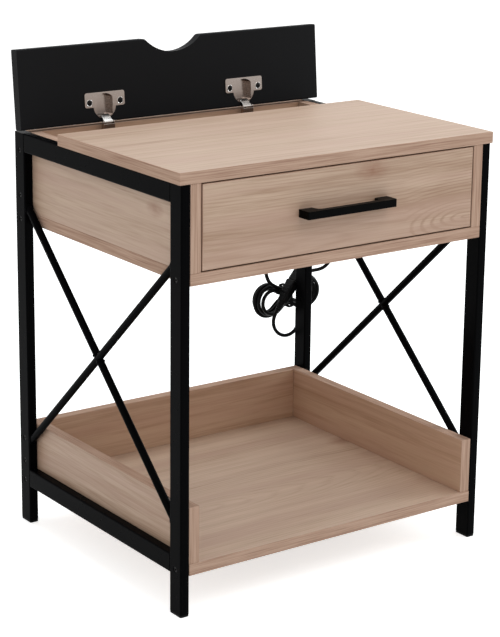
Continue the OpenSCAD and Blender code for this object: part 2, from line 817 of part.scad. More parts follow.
module drawer_front() {
    color("#dccfc2") difference() {
        block(
            [-case_in_x + front_gap, front_y, front_bottom_z],
            [case_in_x - front_gap, drawer_front_in_y, front_top_z]
        );
        for (s = [-1, 1])
            rod_y(front_y - 1, drawer_front_in_y + 1, s * handle_pitch / 2, handle_z,
                handle_screw_dia + 2 * screw_gap);
    }
}

module drawer_side_left() {
    color("#cdbcaa") difference() {
        block(
            [-drawer_out_x, drawer_front_in_y, drawer_z],
            [-drawer_out_x + drawer_wall, drawer_rear_y, drawer_z + drawer_wall_h]
        );
        block(
            [-drawer_out_x + drawer_wall - groove, drawer_front_in_y - 1, drawer_floor_z],
            [-drawer_out_x + drawer_wall + 1, drawer_rear_y + 1,
                drawer_floor_z + drawer_floor_t + 2 * groove_gap]
        );
        for (y = runner_screw_y)
            rod_x(-drawer_out_x - 1, -drawer_out_x + small_screw_in + 1, y, runner_z,
                small_screw_dia + 2 * screw_gap);
    }
}

module drawer_side_right() { mirror([1, 0, 0]) drawer_side_left(); }

// The back stands on the drawer's floor
module drawer_back() {
    color("#cdbcaa")
        block(
            [-drawer_out_x + drawer_wall, drawer_rear_y - drawer_wall,
                drawer_floor_z + drawer_floor_t + 2 * groove_gap],
            [drawer_out_x - drawer_wall, drawer_rear_y, drawer_z + drawer_wall_h]
        );
}

module drawer_bottom() {
    half = drawer_out_x - drawer_wall + groove - groove_gap;
    color("#bfae9b")
        block(
            [-half, drawer_front_in_y, drawer_floor_z + groove_gap],
            [half, drawer_rear_y - 1, drawer_floor_z + groove_gap + drawer_floor_t]
        );
}

// Outline of the handle seen from above, with its back on the line y = 0
module handle_outline() {
    half = handle_len / 2;
    gap_half = half - foot_w;
    gap_deep = handle_proj - bar_t;
    edge_r = 1.5;
    difference() {
        union() {
            translate([-half, edge_r - handle_proj])
                square([handle_len, handle_proj - edge_r]);
            translate([edge_r - half, -handle_proj])
                square([handle_len - 2 * edge_r, edge_r]);
            for (s = [-1, 1])
                translate([s * (half - edge_r), edge_r - handle_proj]) circle(r = edge_r);
        }
        translate([-gap_half, handle_in_r - gap_deep])
            square([2 * gap_half, gap_deep]);
        translate([handle_in_r - gap_half, -gap_deep])
            square([2 * (gap_half - handle_in_r), handle_in_r + 1]);
        for (s = [-1, 1])
            translate([s * (gap_half - handle_in_r), handle_in_r - gap_deep])
                circle(r = handle_in_r);
    }
}

module handle() {
    color("#1b1c1e") difference() {
        translate([0, front_y, handle_z - handle_h / 2])
            linear_extrude(handle_h)
                handle_outline();
        for (s = [-1, 1])
            rod_y(front_y - handle_screw_in - 1, front_y + 1, s * handle_pitch / 2, handle_z,
                handle_screw_dia + 2 * screw_gap);
    }
}

module handle_screws() {
    color("#8f9296")
        for (s = [-1, 1]) {
            rod_y(front_y - handle_screw_in, drawer_front_in_y, s * handle_pitch / 2,
                handle_z, handle_screw_dia);
            rod_y(drawer_front_in_y, drawer_front_in_y + handle_head_h, s * handle_pitch / 2,
                handle_z, 2 * handle_screw_dia);
        }
}

// Takes a piece of the flap from its closed place to its open one
module opened() {
    translate([0, cup_pin_open[0], cup_pin_open[1]])
        rotate([-open_angle, 0, 0])
            translate([0, -cup_pin_closed[0], -cup_pin_closed[1]])
                children();
}

// Flap's section with round edges, drawn from its hinge edge
module flap_section() {
    r = flap_edge_r;
    translate([r, 0]) square([flap_d - 2 * r, flap_t]);
    translate([0, r]) square([flap_d, flap_t - 2 * r]);
    for (x = [r, flap_d - r], y = [r, flap_t - r])
        translate([x, y]) circle(r = r);
}

// Cable notch seen from above, cut into the front edge at y = 0
module notch_outline() {
    translate([0, -notch_up]) circle(r = notch_r, $fn = 96);
    for (s = [-1, 1])
        difference() {
            polygon([
                [0, -5], [s * lip_x, -5], [s * lip_x, notch_lip_r],
                [s * lip_x * lip_share, (notch_up + notch_lip_r) * lip_share - notch_up]
            ]);
            translate([s * lip_x, notch_lip_r]) circle(r = notch_lip_r);
        }
}

module flap() {
    color("#26282b") opened() difference() {
        translate([-flap_w / 2, flap_rear_y, flap_under_z])
            rotate([90, 0, 90])
                mirror([1, 0, 0])
                    linear_extrude(flap_w)
                        flap_section();
        translate([0, flap_front_y, flap_under_z - 1])
            linear_extrude(flap_t + 2)
                notch_outline();
        for (s = [-1, 1])
            translate([s * hinge_x, 0, flap_under_z]) {
                translate([0, cup_y, -1])
                    cylinder(h = cup_deep + 1 + 2 * hinge_gap, d = cup_dia + 2 * hinge_gap);
                for (t = [-1, 1])
                    translate([t * cup_screw_pitch / 2, cup_screw_y, -1])
                        cylinder(h = small_screw_in + 1, d = small_screw_dia + 2 * screw_gap);
            }
    }
}

// Cup with its flange, open towards the flap's hinge edge for the link
module hinge_cup(x) {
    notch_edge = flap_rear_y - cup_pin_in + barrel_dia / 2 + 1.5 * hinge_gap;
    color("#b5b2ae") opened() translate([x, 0, flap_under_z]) {
        difference() {
            union() {
                translate([0, cup_y, 0]) cylinder(h = cup_deep, d = cup_dia);
                translate([0, cup_screw_y + flange_near - flange_d / 2, -flange_t])
                    linear_extrude(flange_t)
                        round_rect(flange_w, flange_d, flange_r);
            }
            intersection() {
                translate([0, cup_y, -flange_t - 1])
                    cylinder(h = cup_deep + flange_t + 1 - cup_wall, d = cup_dia - 2 * cup_wall);
                translate([-cup_slot_w / 2, cup_y - cup_dia / 2, -flange_t - 2])
                    cube([cup_slot_w, cup_dia, cup_deep + flange_t + 3]);
            }
            translate([-link_w / 2 - 0.5, cup_y, -1])
                cube([link_w + 1, notch_edge - cup_y, cup_pin_deep + barrel_dia / 2 + 1.5]);
            for (t = [-1, 1])
                translate([t * cup_screw_pitch / 2, cup_screw_y, -flange_t - 1])
                    cylinder(h = flange_t + 2, d = small_screw_dia + 2 * screw_gap);
        }
        translate([-cup_pin_half, flap_rear_y - cup_pin_in, cup_pin_deep])
            rotate([0, 90, 0])
                cylinder(h = 2 * cup_pin_half, d = pin_dia);
    }
}

// Link plate with a rolled barrel at each pin
module hinge_link(x) {
    color("#c3c1bd") translate([x, arm_pin[0], arm_pin[1]]) rotate([link_open, 0, 0])
        difference() {
            union() {
                for (y = [0, link_len])
                    rod_x(-link_w / 2, link_w / 2, y, 0, barrel_dia);
                block([-link_w / 2, 0, barrel_dia / 2 - link_t], [link_w / 2, link_len, barrel_dia / 2]);
            }
            for (y = [0, link_len])
                rod_x(-link_w / 2 - 1, link_w / 2 + 1, y, 0, pin_dia + 2 * hinge_gap);
        }
}

// Side view of an arm's cheek, with the pin at its upper end
arm_front_y = back_in_y - arm_deep;
arm_low_z = plate_z - 22;
arm_cheek = [
    [back_in_y - plate_t, arm_low_z], [arm_front_y + 3, arm_low_z],
    [arm_front_y, arm_low_z + 4], [arm_front_y, deck_z - 12],
    [arm_pin[0] - arm_eye_dia / 2, arm_pin[1] - 8], [arm_pin[0] - arm_eye_dia / 2, arm_pin[1]],
    [arm_pin[0] + arm_eye_dia / 2, arm_pin[1]], [arm_pin[0] + 3.4, arm_pin[1] - 8],
    [back_in_y - plate_t, deck_z - 20]
];

module arm_side(from) {
    translate([from, 0, 0])
        rotate([90, 0, 90])
            linear_extrude(arm_wall)
                polygon(arm_cheek);
    rod_x(from, from + arm_wall, arm_pin[0], arm_pin[1], arm_eye_dia);
}

// Arm: two cheeks and a front web bent from one plate, with the link's pin across
module hinge_arm(x) {
    half = arm_w / 2;
    color("#b5b2ae") translate([x, 0, 0]) {
        difference() {
            union() {
                arm_side(-half);
                arm_side(half - arm_wall);
                block([-half, arm_front_y, arm_low_z + 5], [half, arm_front_y + arm_wall, deck_z - 14]);
            }
            rod_y(arm_front_y - 1, arm_front_y + arm_wall + 1, 0, plate_z - 10, 4.4);
        }
        rod_x(-half, half, arm_pin[0], arm_pin[1], pin_dia);
    }
}

// Mounting plate: two wings on the back board and a rib inside the arm
module hinge_plate(x) {
    color("#b5b2ae") translate([x, 0, 0]) difference() {
        union() {
            translate([0, back_in_y, plate_z])
                rotate([90, 0, 0])
                    linear_extrude(plate_t)
                        round_rect(plate_w, plate_h, flange_r);
            block(
                [-rib_w / 2, back_in_y - plate_t - rib_h, plate_z - 20],
                [rib_w / 2, back_in_y, plate_z + 16]
            );
        }
        for (s = [-1, 1])
            rod_y(back_in_y - plate_t - 1, back_in_y + 1, s * plate_screw_half, plate_z,
                small_screw_dia + 2 * screw_gap);
    }
}

module hinge_left_cup() { hinge_cup(-hinge_x); }
module hinge_right_cup() { hinge_cup(hinge_x); }
module hinge_left_link() { hinge_link(-hinge_x); }
module hinge_right_link() { hinge_link(hinge_x); }
module hinge_left_arm() { hinge_arm(-hinge_x); }
module hinge_right_arm() { hinge_arm(hinge_x); }
module hinge_left_plate() { hinge_plate(-hinge_x); }
module hinge_right_plate() { hinge_plate(hinge_x); }

module hinge_cup_screws() {
    color("#8f9296") opened()
        for (s = [-1, 1], t = [-1, 1])
            translate([s * hinge_x + t * cup_screw_pitch / 2, cup_screw_y, flap_under_z]) {
                translate([0, 0, -flange_t - 0.8]) cylinder(h = 0.8, d = small_head_dia);
                translate([0, 0, -flange_t - 0.4])
                    cylinder(h = small_screw_in + 0.2, d = small_screw_dia);
            }
}

module hinge_plate_screws() {
    color("#8f9296")
        for (side = [-1, 1], s = [-1, 1]) {
            x = side * hinge_x + s * plate_screw_half;
            rod_y(back_in_y - plate_t - 1.2, back_in_y - plate_t, x, plate_z, small_head_dia);
            rod_y(back_in_y - plate_t - 0.6, back_in_y + small_screw_in, x, plate_z,
                small_screw_dia);
        }
}

// Power strip on the floor of the compartment, against the back board
module power_strip_body() {
    low = [strip_x - strip_len / 2, back_in_y - strip_d, case_floor_z];
    high = [strip_x + strip_len / 2, back_in_y, case_floor_z + strip_h];
    color("#17181a") difference() {
        block(low, high);
        block(
            [low[0] + strip_rim, low[1] + strip_rim, high[2] - face_deep],
            [high[0] - strip_rim, high[1] - strip_rim, high[2] + 1]
        );
        rod_y(back_in_y - 12, back_in_y + 1, grip_tip[0], grip_tip[2], grip_hole);
    }
}

// Face with two outlets, each two blades and an earth hole, and two charging ports
module power_strip_sockets() {
    half_x = strip_len / 2 - strip_rim - face_gap;
    half_y = strip_d / 2 - strip_rim - face_gap;
    y_mid = back_in_y - strip_d / 2;
    top = case_floor_z + strip_h - face_sunk;
    outlet_x = strip_x - strip_len / 8;
    port_x = strip_x + strip_len / 2 - strip_rim - port_w;
    color("#2a2c2f") difference() {
        block(
            [strip_x - half_x, y_mid - half_y, case_floor_z + strip_h - face_deep],
            [strip_x + half_x, y_mid + half_y, top]
        );
        for (s = [-1, 1])
            translate([outlet_x + s * outlet_pitch / 2, y_mid, top - slot_deep]) {
                for (t = [-1, 1])
                    translate([t * blade_gap / 2 - blade_t / 2, -blade_h / 2, 0])
                        cube([blade_t, blade_h, slot_deep + 1]);
                translate([0, -earth_down, 0]) cylinder(h = slot_deep + 1, d = earth_dia);
            }
        for (s = [-1, 1])
            translate([port_x, y_mid + s * port_h * 1.5, top - slot_deep / 2 + 1])
                cube([port_w, port_h, slot_deep + 2], center = true);
    }
}

// Tapered grip on the back board, with the cord's end inside it
module cord_grip() {
    flange_h = 2;
    color("#141517") difference() {
        union() {
            rod_y(back_out_y, back_out_y + flange_h, grip_tip[0], grip_tip[2], grip_dia + 5);
            rod_y(back_in_y + 1, back_out_y + 0.5, grip_tip[0], grip_tip[2], grip_hole - 2 * screw_gap);
            translate([grip_tip[0], back_out_y + flange_h, grip_tip[2]])
                rotate([-90, 0, 0])
                    cylinder(h = grip_len - flange_h, d1 = grip_dia, d2 = cord_dia + 3);
        }
        for (i = [1 : 4])
            translate([grip_tip[0], back_out_y + flange_h + i * 4, grip_tip[2]])
                rotate([90, 0, 0])
                    difference() {
                        cylinder(h = 1.4, d = grip_dia + 4);
                        cylinder(h = 1.4, d = cord_dia + 2);
                    }
    }
}

module cord_lead() {
    color("#18191b") swept(lead_pts, cord_dia, 8);
}

module cord_hank() {
    color("#18191b") swept(hank_pts, cord_dia, 6);
}

module cord_tail() {
    color("#18191b") swept(tail_pts, cord_dia, 8);
}

// Band round the hank's waist
module cord_tie() {
    band_w = 6;
    band_t = 1.2;
    half_z = waist_half + hank_grow(reversals[1]) + cord_dia / 2 + 0.3;
    half_y = 1.5 * layer_step + cord_dia / 2 + 0.3;
    color("#101112")
        translate(hank_mid)
            rotate([0, -hank_tilt, 0])
                rotate([90, 0, 90])
                    linear_extrude(band_w, center = true)
                        difference() {
                            round_rect(2 * (half_y + band_t), 2 * (half_z + band_t), 5);
                            round_rect(2 * half_y, 2 * half_z, 4);
                        }
}

// Mains plug with a tapered neck and two flat prongs
module plug() {
    color("#16171a")
        translate(plug_base)
            rotate([0, plug_tilt, 0]) {
                cylinder(h = plug_neck, d1 = cord_dia + 2, d2 = 12);
                translate([-plug_t / 2, -plug_w / 2, plug_neck])
                    cube([plug_t, plug_w, plug_len]);
                for (s = [-1, 1])
                    translate([-prong_w / 2, s * prong_gap / 2 - prong_t / 2, plug_neck + plug_len])
                        cube([prong_w, prong_t, prong_len]);
            }
}

left_leg_front();
left_leg_rear();
left_rail_top();
left_rail_bottom();
left_brace_long();
left_brace_halves();
right_leg_front();
right_leg_rear();
right_rail_top();
right_rail_bottom();
right_brace_long();
right_brace_halves();
foot_glides();
frame_screws();
case_bottom();
case_side_left();
case_side_right();
case_back();
case_divider();
top_panel();
tray_bottom();
tray_side_left();
tray_side_right();
tray_back();
runner_left_cabinet();
runner_left_middle();
runner_left_cages();
runner_left_drawer();
runner_right_cabinet();
runner_right_middle();
runner_right_cages();
runner_right_drawer();
runner_screws();
drawer_front();
drawer_side_left();
drawer_side_right();
drawer_back();
drawer_bottom();
drawer_screws();
handle();
handle_screws();
flap();
hinge_left_cup();
hinge_left_link();
hinge_left_arm();
hinge_left_plate();
hinge_right_cup();
hinge_right_link();
hinge_right_arm();
hinge_right_plate();
hinge_cup_screws();
hinge_plate_screws();
power_strip_body();
power_strip_sockets();
cord_grip();
cord_lead();
cord_hank();
cord_tie();
cord_tail();
plug();
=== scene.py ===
# %% [markdown]
# # A nightstand with a steel frame, dressed for its photograph
#
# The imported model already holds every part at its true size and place. This lesson gives
# each part the finish of the real one, models anew the parts whose edges or details show,
# and sets up a camera and a plain studio. All lengths in Blender are metres.

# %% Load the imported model
import json
import math

import bpy
from mathutils import Matrix, Vector

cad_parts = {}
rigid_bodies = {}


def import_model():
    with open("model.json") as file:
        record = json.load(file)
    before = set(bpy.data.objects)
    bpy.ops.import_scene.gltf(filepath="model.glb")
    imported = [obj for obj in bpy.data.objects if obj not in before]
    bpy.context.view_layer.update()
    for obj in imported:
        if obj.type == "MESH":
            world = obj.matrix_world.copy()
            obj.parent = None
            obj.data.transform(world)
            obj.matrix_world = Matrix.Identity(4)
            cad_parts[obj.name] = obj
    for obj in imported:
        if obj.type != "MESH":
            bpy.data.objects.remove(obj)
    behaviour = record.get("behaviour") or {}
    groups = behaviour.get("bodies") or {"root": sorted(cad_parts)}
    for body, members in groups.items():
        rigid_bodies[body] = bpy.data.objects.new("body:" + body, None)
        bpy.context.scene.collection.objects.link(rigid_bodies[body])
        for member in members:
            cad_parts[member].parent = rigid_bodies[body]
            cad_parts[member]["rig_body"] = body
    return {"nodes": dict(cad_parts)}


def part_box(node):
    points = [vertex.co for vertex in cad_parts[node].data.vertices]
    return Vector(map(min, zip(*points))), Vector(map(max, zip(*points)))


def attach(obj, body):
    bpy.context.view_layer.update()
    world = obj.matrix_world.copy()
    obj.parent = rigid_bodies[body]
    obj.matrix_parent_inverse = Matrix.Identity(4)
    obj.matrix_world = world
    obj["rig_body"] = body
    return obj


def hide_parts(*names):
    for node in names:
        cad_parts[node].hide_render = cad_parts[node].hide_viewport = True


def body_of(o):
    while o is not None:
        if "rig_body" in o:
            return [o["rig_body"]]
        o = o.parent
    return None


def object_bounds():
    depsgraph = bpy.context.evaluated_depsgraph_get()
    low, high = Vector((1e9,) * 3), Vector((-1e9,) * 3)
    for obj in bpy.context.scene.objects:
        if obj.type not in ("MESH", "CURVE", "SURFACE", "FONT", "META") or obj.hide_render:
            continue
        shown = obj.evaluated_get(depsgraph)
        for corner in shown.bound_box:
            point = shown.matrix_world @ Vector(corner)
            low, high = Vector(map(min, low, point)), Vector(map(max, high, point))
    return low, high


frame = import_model()
cad_box = [list(corner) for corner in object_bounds()]
print("size in mm:", [round(1000 * (b - a)) for a, b in zip(*cad_box)])

# %% [markdown]
# ## Camera
# A product photographer stands to the left, a little above the top board, with a long
# lens. The place was worked out from the corners of the frame. A small shift lowers the
# view without tipping the camera further, which keeps the legs nearly upright.

# %% Camera
PIXELS_HIGH = 637
FOCAL_PIXELS = 1998.2
SENSOR = 36  # mm, along the picture's longer side
PLACE = (-1.4913, -2.0836, 1.0420)
YAW, PITCH, ROLL = 35.585, -14.683, 0.672  # degrees
SHIFT_X, SHIFT_Y = -0.0049, -0.08


def aim_camera(place, yaw, pitch, roll):
    """Camera at a place, turned from +Y to the right by yaw, then up by pitch."""
    yaw, pitch, roll = (math.radians(a) for a in (yaw, pitch, roll))
    ahead = Vector((
        math.sin(yaw) * math.cos(pitch), math.cos(yaw) * math.cos(pitch), math.sin(pitch)
    ))
    right = ahead.cross(Vector((0, 0, 1))).normalized()
    up = right.cross(ahead)
    side = math.cos(roll) * right + math.sin(roll) * up
    top = math.cos(roll) * up - math.sin(roll) * right
    camera = bpy.data.objects.new("camera", bpy.data.cameras.new("camera"))
    bpy.context.collection.objects.link(camera)
    turn = Matrix((side, top, -ahead)).transposed().to_4x4()
    camera.matrix_world = Matrix.Translation(place) @ turn
    return camera


camera = aim_camera(PLACE, YAW, PITCH, ROLL)
camera.data.lens = FOCAL_PIXELS / PIXELS_HIGH * SENSOR
camera.data.shift_x = SHIFT_X
camera.data.shift_y = SHIFT_Y
bpy.context.scene.camera = camera
bpy.context.scene.view_settings.view_transform = "Standard"
print("lens", round(camera.data.lens, 1), "mm")

# %% [markdown]
# ## Helpers for modelling
# Parts are modelled as by hand: a primitive goes in at its size and place, and is shaped
# in edit mode. An operator works on all that is selected, so everything is deselected
# first, and the faces or edges for the next step are picked by their place.

# %% Picking and editing
def mm(*values):
    """Millimetres to metres, for one number or several."""
    metres = [value / 1000 for value in values]
    return metres[0] if len(metres) == 1 else metres


def only(piece):
    """Selects one piece and makes it the active one."""
    bpy.ops.object.select_all(action="DESELECT")
    piece.select_set(True)
    bpy.context.view_layer.objects.active = piece


def edit(piece, kind="EDGE", test=None):
    """Opens a piece in edit mode, with the vertices, edges or faces that pass the test."""
    only(piece)
    bpy.ops.object.mode_set(mode="EDIT")
    bpy.ops.mesh.select_mode(type=kind)
    bpy.ops.mesh.select_all(action="SELECT" if test is None else "DESELECT")
    if test is None:
        return
    bpy.ops.object.mode_set(mode="OBJECT")
    mesh = piece.data
    points = [v.co for v in mesh.vertices]
    for v in mesh.vertices if kind == "VERT" else []:
        v.select = test([v.co])
    for e in mesh.edges if kind == "EDGE" else []:
        e.select = test([points[i] for i in e.vertices])
    for f in mesh.polygons if kind == "FACE" else []:
        f.select = test([points[i] for i in f.vertices])
    bpy.ops.object.mode_set(mode="EDIT")


def leave(piece, angle=35):
    """Leaves edit mode. Edges below the angle shade smooth, and broad faces stay flat."""
    if bpy.context.mode != "OBJECT":
        bpy.ops.object.mode_set(mode="OBJECT")
    only(piece)
    bpy.ops.object.shade_smooth_by_angle(angle=math.radians(angle))
    weigh = piece.modifiers.new("flat_faces", "WEIGHTED_NORMAL")
    weigh.weight = 100
    weigh.keep_sharp = True
    bpy.ops.object.modifier_apply(modifier="flat_faces")
    return piece


# %% Starting and placing pieces
def settle(name):
    """Names a new primitive and moves its place and size into its mesh."""
    piece = bpy.context.object
    piece.name = name
    piece.data.name = name
    bpy.ops.object.transform_apply(location=True, rotation=True, scale=True)
    return piece


def add_block(name, low, high):
    """A block between two corners, as the start of a piece."""
    bpy.ops.object.select_all(action="DESELECT")
    size = [b - a for a, b in zip(low, high)]
    middle = [(a + b) / 2 for a, b in zip(low, high)]
    bpy.ops.mesh.primitive_cube_add(size=1, location=middle, scale=size)
    return settle(name)


def lathe(name, profile, steps=24):
    """A round piece about Z: its outline, radius and height in mm, is spun."""
    mesh = bpy.data.meshes.new(name)
    mesh.from_pydata(
        [mm(r, 0, z) for r, z in profile], [(i, i + 1) for i in range(len(profile) - 1)], []
    )
    piece = bpy.data.objects.new(name, mesh)
    bpy.context.collection.objects.link(piece)
    edit(piece, "VERT")
    bpy.ops.mesh.spin(steps=steps, angle=math.tau, center=(0, 0, 0), axis=(0, 0, 1))
    bpy.ops.mesh.select_all(action="SELECT")
    bpy.ops.mesh.remove_doubles(threshold=1e-6)
    bpy.ops.mesh.normals_make_consistent(inside=False)
    return leave(piece)


def moved(piece, matrix):
    """Puts a piece in its place, in its mesh."""
    piece.data.transform(matrix)
    piece.data.update()
    return piece


def copied(piece, name, matrix):
    """A copy with a mesh of its own, in its place."""
    other = piece.copy()
    other.data = piece.data.copy()
    other.name = name
    other.data.name = name
    bpy.context.collection.objects.link(other)
    return moved(other, matrix)


def joined(name, *pieces):
    """Joins pieces of one moulding or one weld into a single piece."""
    only(pieces[0])
    for piece in pieces:
        piece.select_set(True)
    bpy.ops.object.join()
    pieces[0].name = pieces[0].data.name = name
    return pieces[0]


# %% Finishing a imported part
FLAT_WITHIN = math.radians(0.4)
SHARP_FROM = math.radians(50)


def stands_for(piece, part):
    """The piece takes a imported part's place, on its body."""
    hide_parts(part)
    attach(piece, body_of(frame["nodes"][part])[0])
    return piece


def eased(part, width=0.0, angle=35, segments=2):
    """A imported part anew: its triangles are merged, and its sharp edges eased, in mm."""
    mesh = frame["nodes"][part].data.copy()
    mesh.materials.clear()
    piece = bpy.data.objects.new(part + "_finished", mesh)
    bpy.context.collection.objects.link(piece)
    edit(piece, "VERT")
    bpy.ops.mesh.remove_doubles(threshold=1e-6)
    bpy.ops.mesh.dissolve_limited(angle_limit=FLAT_WITHIN)
    bpy.ops.object.mode_set(mode="OBJECT")
    if width:
        round_off = piece.modifiers.new("eased", "BEVEL")
        round_off.width = mm(width)
        round_off.segments = segments
        round_off.limit_method = "ANGLE"
        round_off.angle_limit = SHARP_FROM
        only(piece)
        bpy.ops.object.modifier_apply(modifier="eased")
    return stands_for(leave(piece, angle), part)


# %% [markdown]
# ## The cord's route
# The power strip's cord leaves the back board, bulges to the right and runs into a hank:
# the spare length folded to and fro, as it comes in its box, and tied round its waist.
# The hank is a figure of two folds and a waist, wound in a spiral in four layers. The
# end of the cord hangs out of it in a loose loop to the left, and the plug rests on the
# hank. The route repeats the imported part's own formulas, and a Bezier curve through its
# points makes the line smooth.

# %% The cord's route
CORD = 5.5
grip_tip = Vector((160, 227, 457))
hank_mid = grip_tip + Vector((76, 17.5, -217))
hank_tilt = math.radians(6)
fold_r, waist_r, waist_half = 16.5, 27, 3.15
turn_step, layer_step = 6.3, 6.1
LOOP_STEPS = 24
LAYERS_TURN_AT = (24, 60, 96)
waist_up = waist_r + waist_half
fold_x = math.sqrt((fold_r + waist_r) ** 2 - waist_up ** 2)
lean = math.degrees(math.atan2(waist_up, fold_x))
waist_turn = (90 - lean) / 1.5
fold_turn = (360 - 2 * lean) / 9


def on_circle(x, z, radius, degrees):
    a = math.radians(degrees)
    return x + radius * math.cos(a), z + radius * math.sin(a)


def loop_at(q, grow):
    """A place on the hank's loop, widened by grow. Of its 24 steps, 3 run over each
    waist arc and 9 round each fold, and q counts from the middle of the upper arc."""
    if q <= 1.5:
        return on_circle(0, waist_up, waist_r - grow, -90 - q * waist_turn)
    if q < 10.5:
        return on_circle(-fold_x, 0, fold_r + grow, lean + (q - 1.5) * fold_turn)
    if q <= 13.5:
        return on_circle(0, -waist_up, waist_r - grow, 90 - (q - 12) * waist_turn)
    if q < 22.5:
        return on_circle(fold_x, 0, fold_r + grow, lean - 180 + (q - 13.5) * fold_turn)
    return loop_at(q - LOOP_STEPS, grow)


def hank_at(s):
    """A place on the hank: it spirals in, out and in again, one layer at a time."""
    inmost, outmost, inmost_again = LAYERS_TURN_AT
    grow = turn_step / LOOP_STEPS * abs(s - (inmost if s <= outmost else inmost_again))
    climb = sum(max(0, min(1, (s - turn) / 3 + 0.5)) for turn in LAYERS_TURN_AT)
    x, z = loop_at(s % LOOP_STEPS, grow)
    return hank_mid + Vector((
        x * math.cos(hank_tilt) - z * math.sin(hank_tilt),
        layer_step * (1.5 - climb),
        x * math.sin(hank_tilt) + z * math.cos(hank_tilt),
    ))


# %% The whole route
HANK_FROM, HANK_POINTS = -3.5, 126
wound = [hank_at(HANK_FROM + step) for step in range(HANK_POINTS)]
way_in = (wound[1] - wound[0]).normalized()
way_out = (wound[-1] - wound[-2]).normalized()
hank_start = wound[0] - CORD * way_in
hank_end = wound[-1] + CORD * way_out
lead_steps = [
    (0, 0, 0), (0.2, 9.5, -0.1), (2.9, 18.6, -0.8), (8.3, 26.2, -2.8),
    (14.9, 31.8, -6.6), (21.7, 35.3, -12.4), (27.9, 36.5, -19.5), (33.9, 36.4, -26.9),
    (40, 35.5, -34.2), (46.4, 34.4, -41.2), (53.3, 33.3, -47.7), (60.8, 32.5, -53.5),
    (68.8, 32, -58.8), (77, 31.8, -63.7), (85.1, 31.7, -68.6), (93, 31.3, -74),
    (100.1, 30.4, -80.3), (106.4, 29.1, -87.3), (112, 27.5, -94.9), (117.1, 25.7, -102.8),
    (122.2, 24, -110.7), (127.7, 22.7, -118.4), (133.7, 21.7, -125.6),
    (140.4, 20.8, -132.4), (147.3, 19.7, -139), (153.5, 18.4, -146.1),
    (157.6, 16.8, -154.5), (158.4, 15.4, -163.9), (155.9, 15.2, -173), (150.6, 17, -180.6),
    (143.3, 20.4, -185.6), (134.8, 24.3, -187.6), (125.5, 26.4, -188.3),
]
tail_steps = [
    (-34.2, -9.2, 24.4), (-39.5, -9.5, 29.9), (-43.1, -9.9, 36.5), (-45.2, -10.4, 43.7),
    (-45.6, -11.1, 51.2), (-44.3, -11.8, 58.6), (-41.5, -12.5, 65.6), (-37.2, -13.3, 71.8),
    (-31.7, -14, 76.9), (-25.2, -14.7, 80.7), (-18.2, -15.4, 83.4), (-10.7, -16.1, 84.6),
    (-3.2, -16.7, 84.4), (4.1, -17.3, 82.5), (10.7, -17.9, 78.9), (16.3, -18.4, 73.9),
    (20.7, -18.8, 67.8), (23.8, -19.2, 60.9), (25.8, -19.6, 53.6), (26.8, -19.9, 46.1),
    (27.1, -20.2, 38.6), (26.7, -20.5, 31), (25.7, -20.8, 23.5), (24.1, -21.2, 16.1),
    (22.1, -21.5, 8.8), (19.8, -21.9, 1.7), (17.3, -22.3, -5.5), (14.9, -22.6, -12.6),
    (12.7, -22.8, -19.9), (10.6, -23.1, -27.1), (8.3, -23.2, -34.4), (5.3, -23.3, -41.3),
    (1, -23.5, -47.4), (-5.1, -23.6, -51.9), (-12.3, -23.7, -54), (-19.8, -23.8, -53.7),
    (-26.9, -23.8, -51.1), (-32.9, -23.7, -46.6), (-37.4, -23.7, -40.5),
    (-39.8, -23.7, -33.4), (-39.8, -23.7, -25.8), (-37.2, -23.7, -18.8),
]
plug_tilt = math.radians(35)
plug_axis = Vector((math.sin(plug_tilt), 0, math.cos(plug_tilt)))
plug_base = hank_mid + Vector((-33, -23.7, -12.5))
route = [grip_tip + Vector(step) for step in lead_steps]
route += [hank_start - 4 * way_in, hank_start, *wound, hank_end, hank_end + 4 * way_out]
route += [hank_mid + Vector(step) for step in tail_steps]
route += [plug_base - 4 * plug_axis, plug_base]

# %% The cord
# The curve's bevel of 1 m is scaled by each point's radius, the cord's own.
line = bpy.data.curves.new("cord", "CURVE")
line.dimensions = "3D"
spline = line.splines.new("BEZIER")
spline.bezier_points.add(len(route) - 1)
for point, place in zip(spline.bezier_points, route):
    point.co = place / 1000
    point.radius = mm(CORD / 2)
    point.handle_left_type = point.handle_right_type = "AUTO"
spline.resolution_u = 3
line.bevel_depth = 1.0
line.bevel_resolution = 3
line.use_fill_caps = True
cord = bpy.data.objects.new("cord", line)
bpy.context.collection.objects.link(cord)
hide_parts("cord_lead", "cord_hank", "cord_tail")
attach(cord, "stand")

# %% [markdown]
# ## Plug, strain relief and tie
# The plug is moulded onto the cord in one shot of soft PVC: a ribbed neck that bends with
# the cord, and a body with ribs for the fingers. It is modelled upright at the origin and
# then turned into its place. The neck's outline is spun, and the body starts as a block.

# %% Plug moulding
GROOVES, GROOVE_STEP = 5, 2.6
BODY_FOOT, BODY_TOP = 13.8, 49.8
RIBS, RIB_STEP, RIB_FOOT = 4, 5, 24
neck_line = [(0, -0.2), (3.6, -0.2)]
for groove in range(GROOVES):
    height, radius = 1.0 + GROOVE_STEP * groove, 3.8 + 0.42 * groove
    neck_line += [(radius, height), (radius + 0.3, height + 1.4),
                  (radius - 0.7, height + 1.6), (radius - 0.6, height + 2.4)]
neck_line += [(6.0, 14.2), (0, 14.2)]
neck = lathe("plug_neck", neck_line)
body = add_block("plug_body", mm(-6.4, -9.9, BODY_FOOT), mm(6.4, 9.9, BODY_TOP))
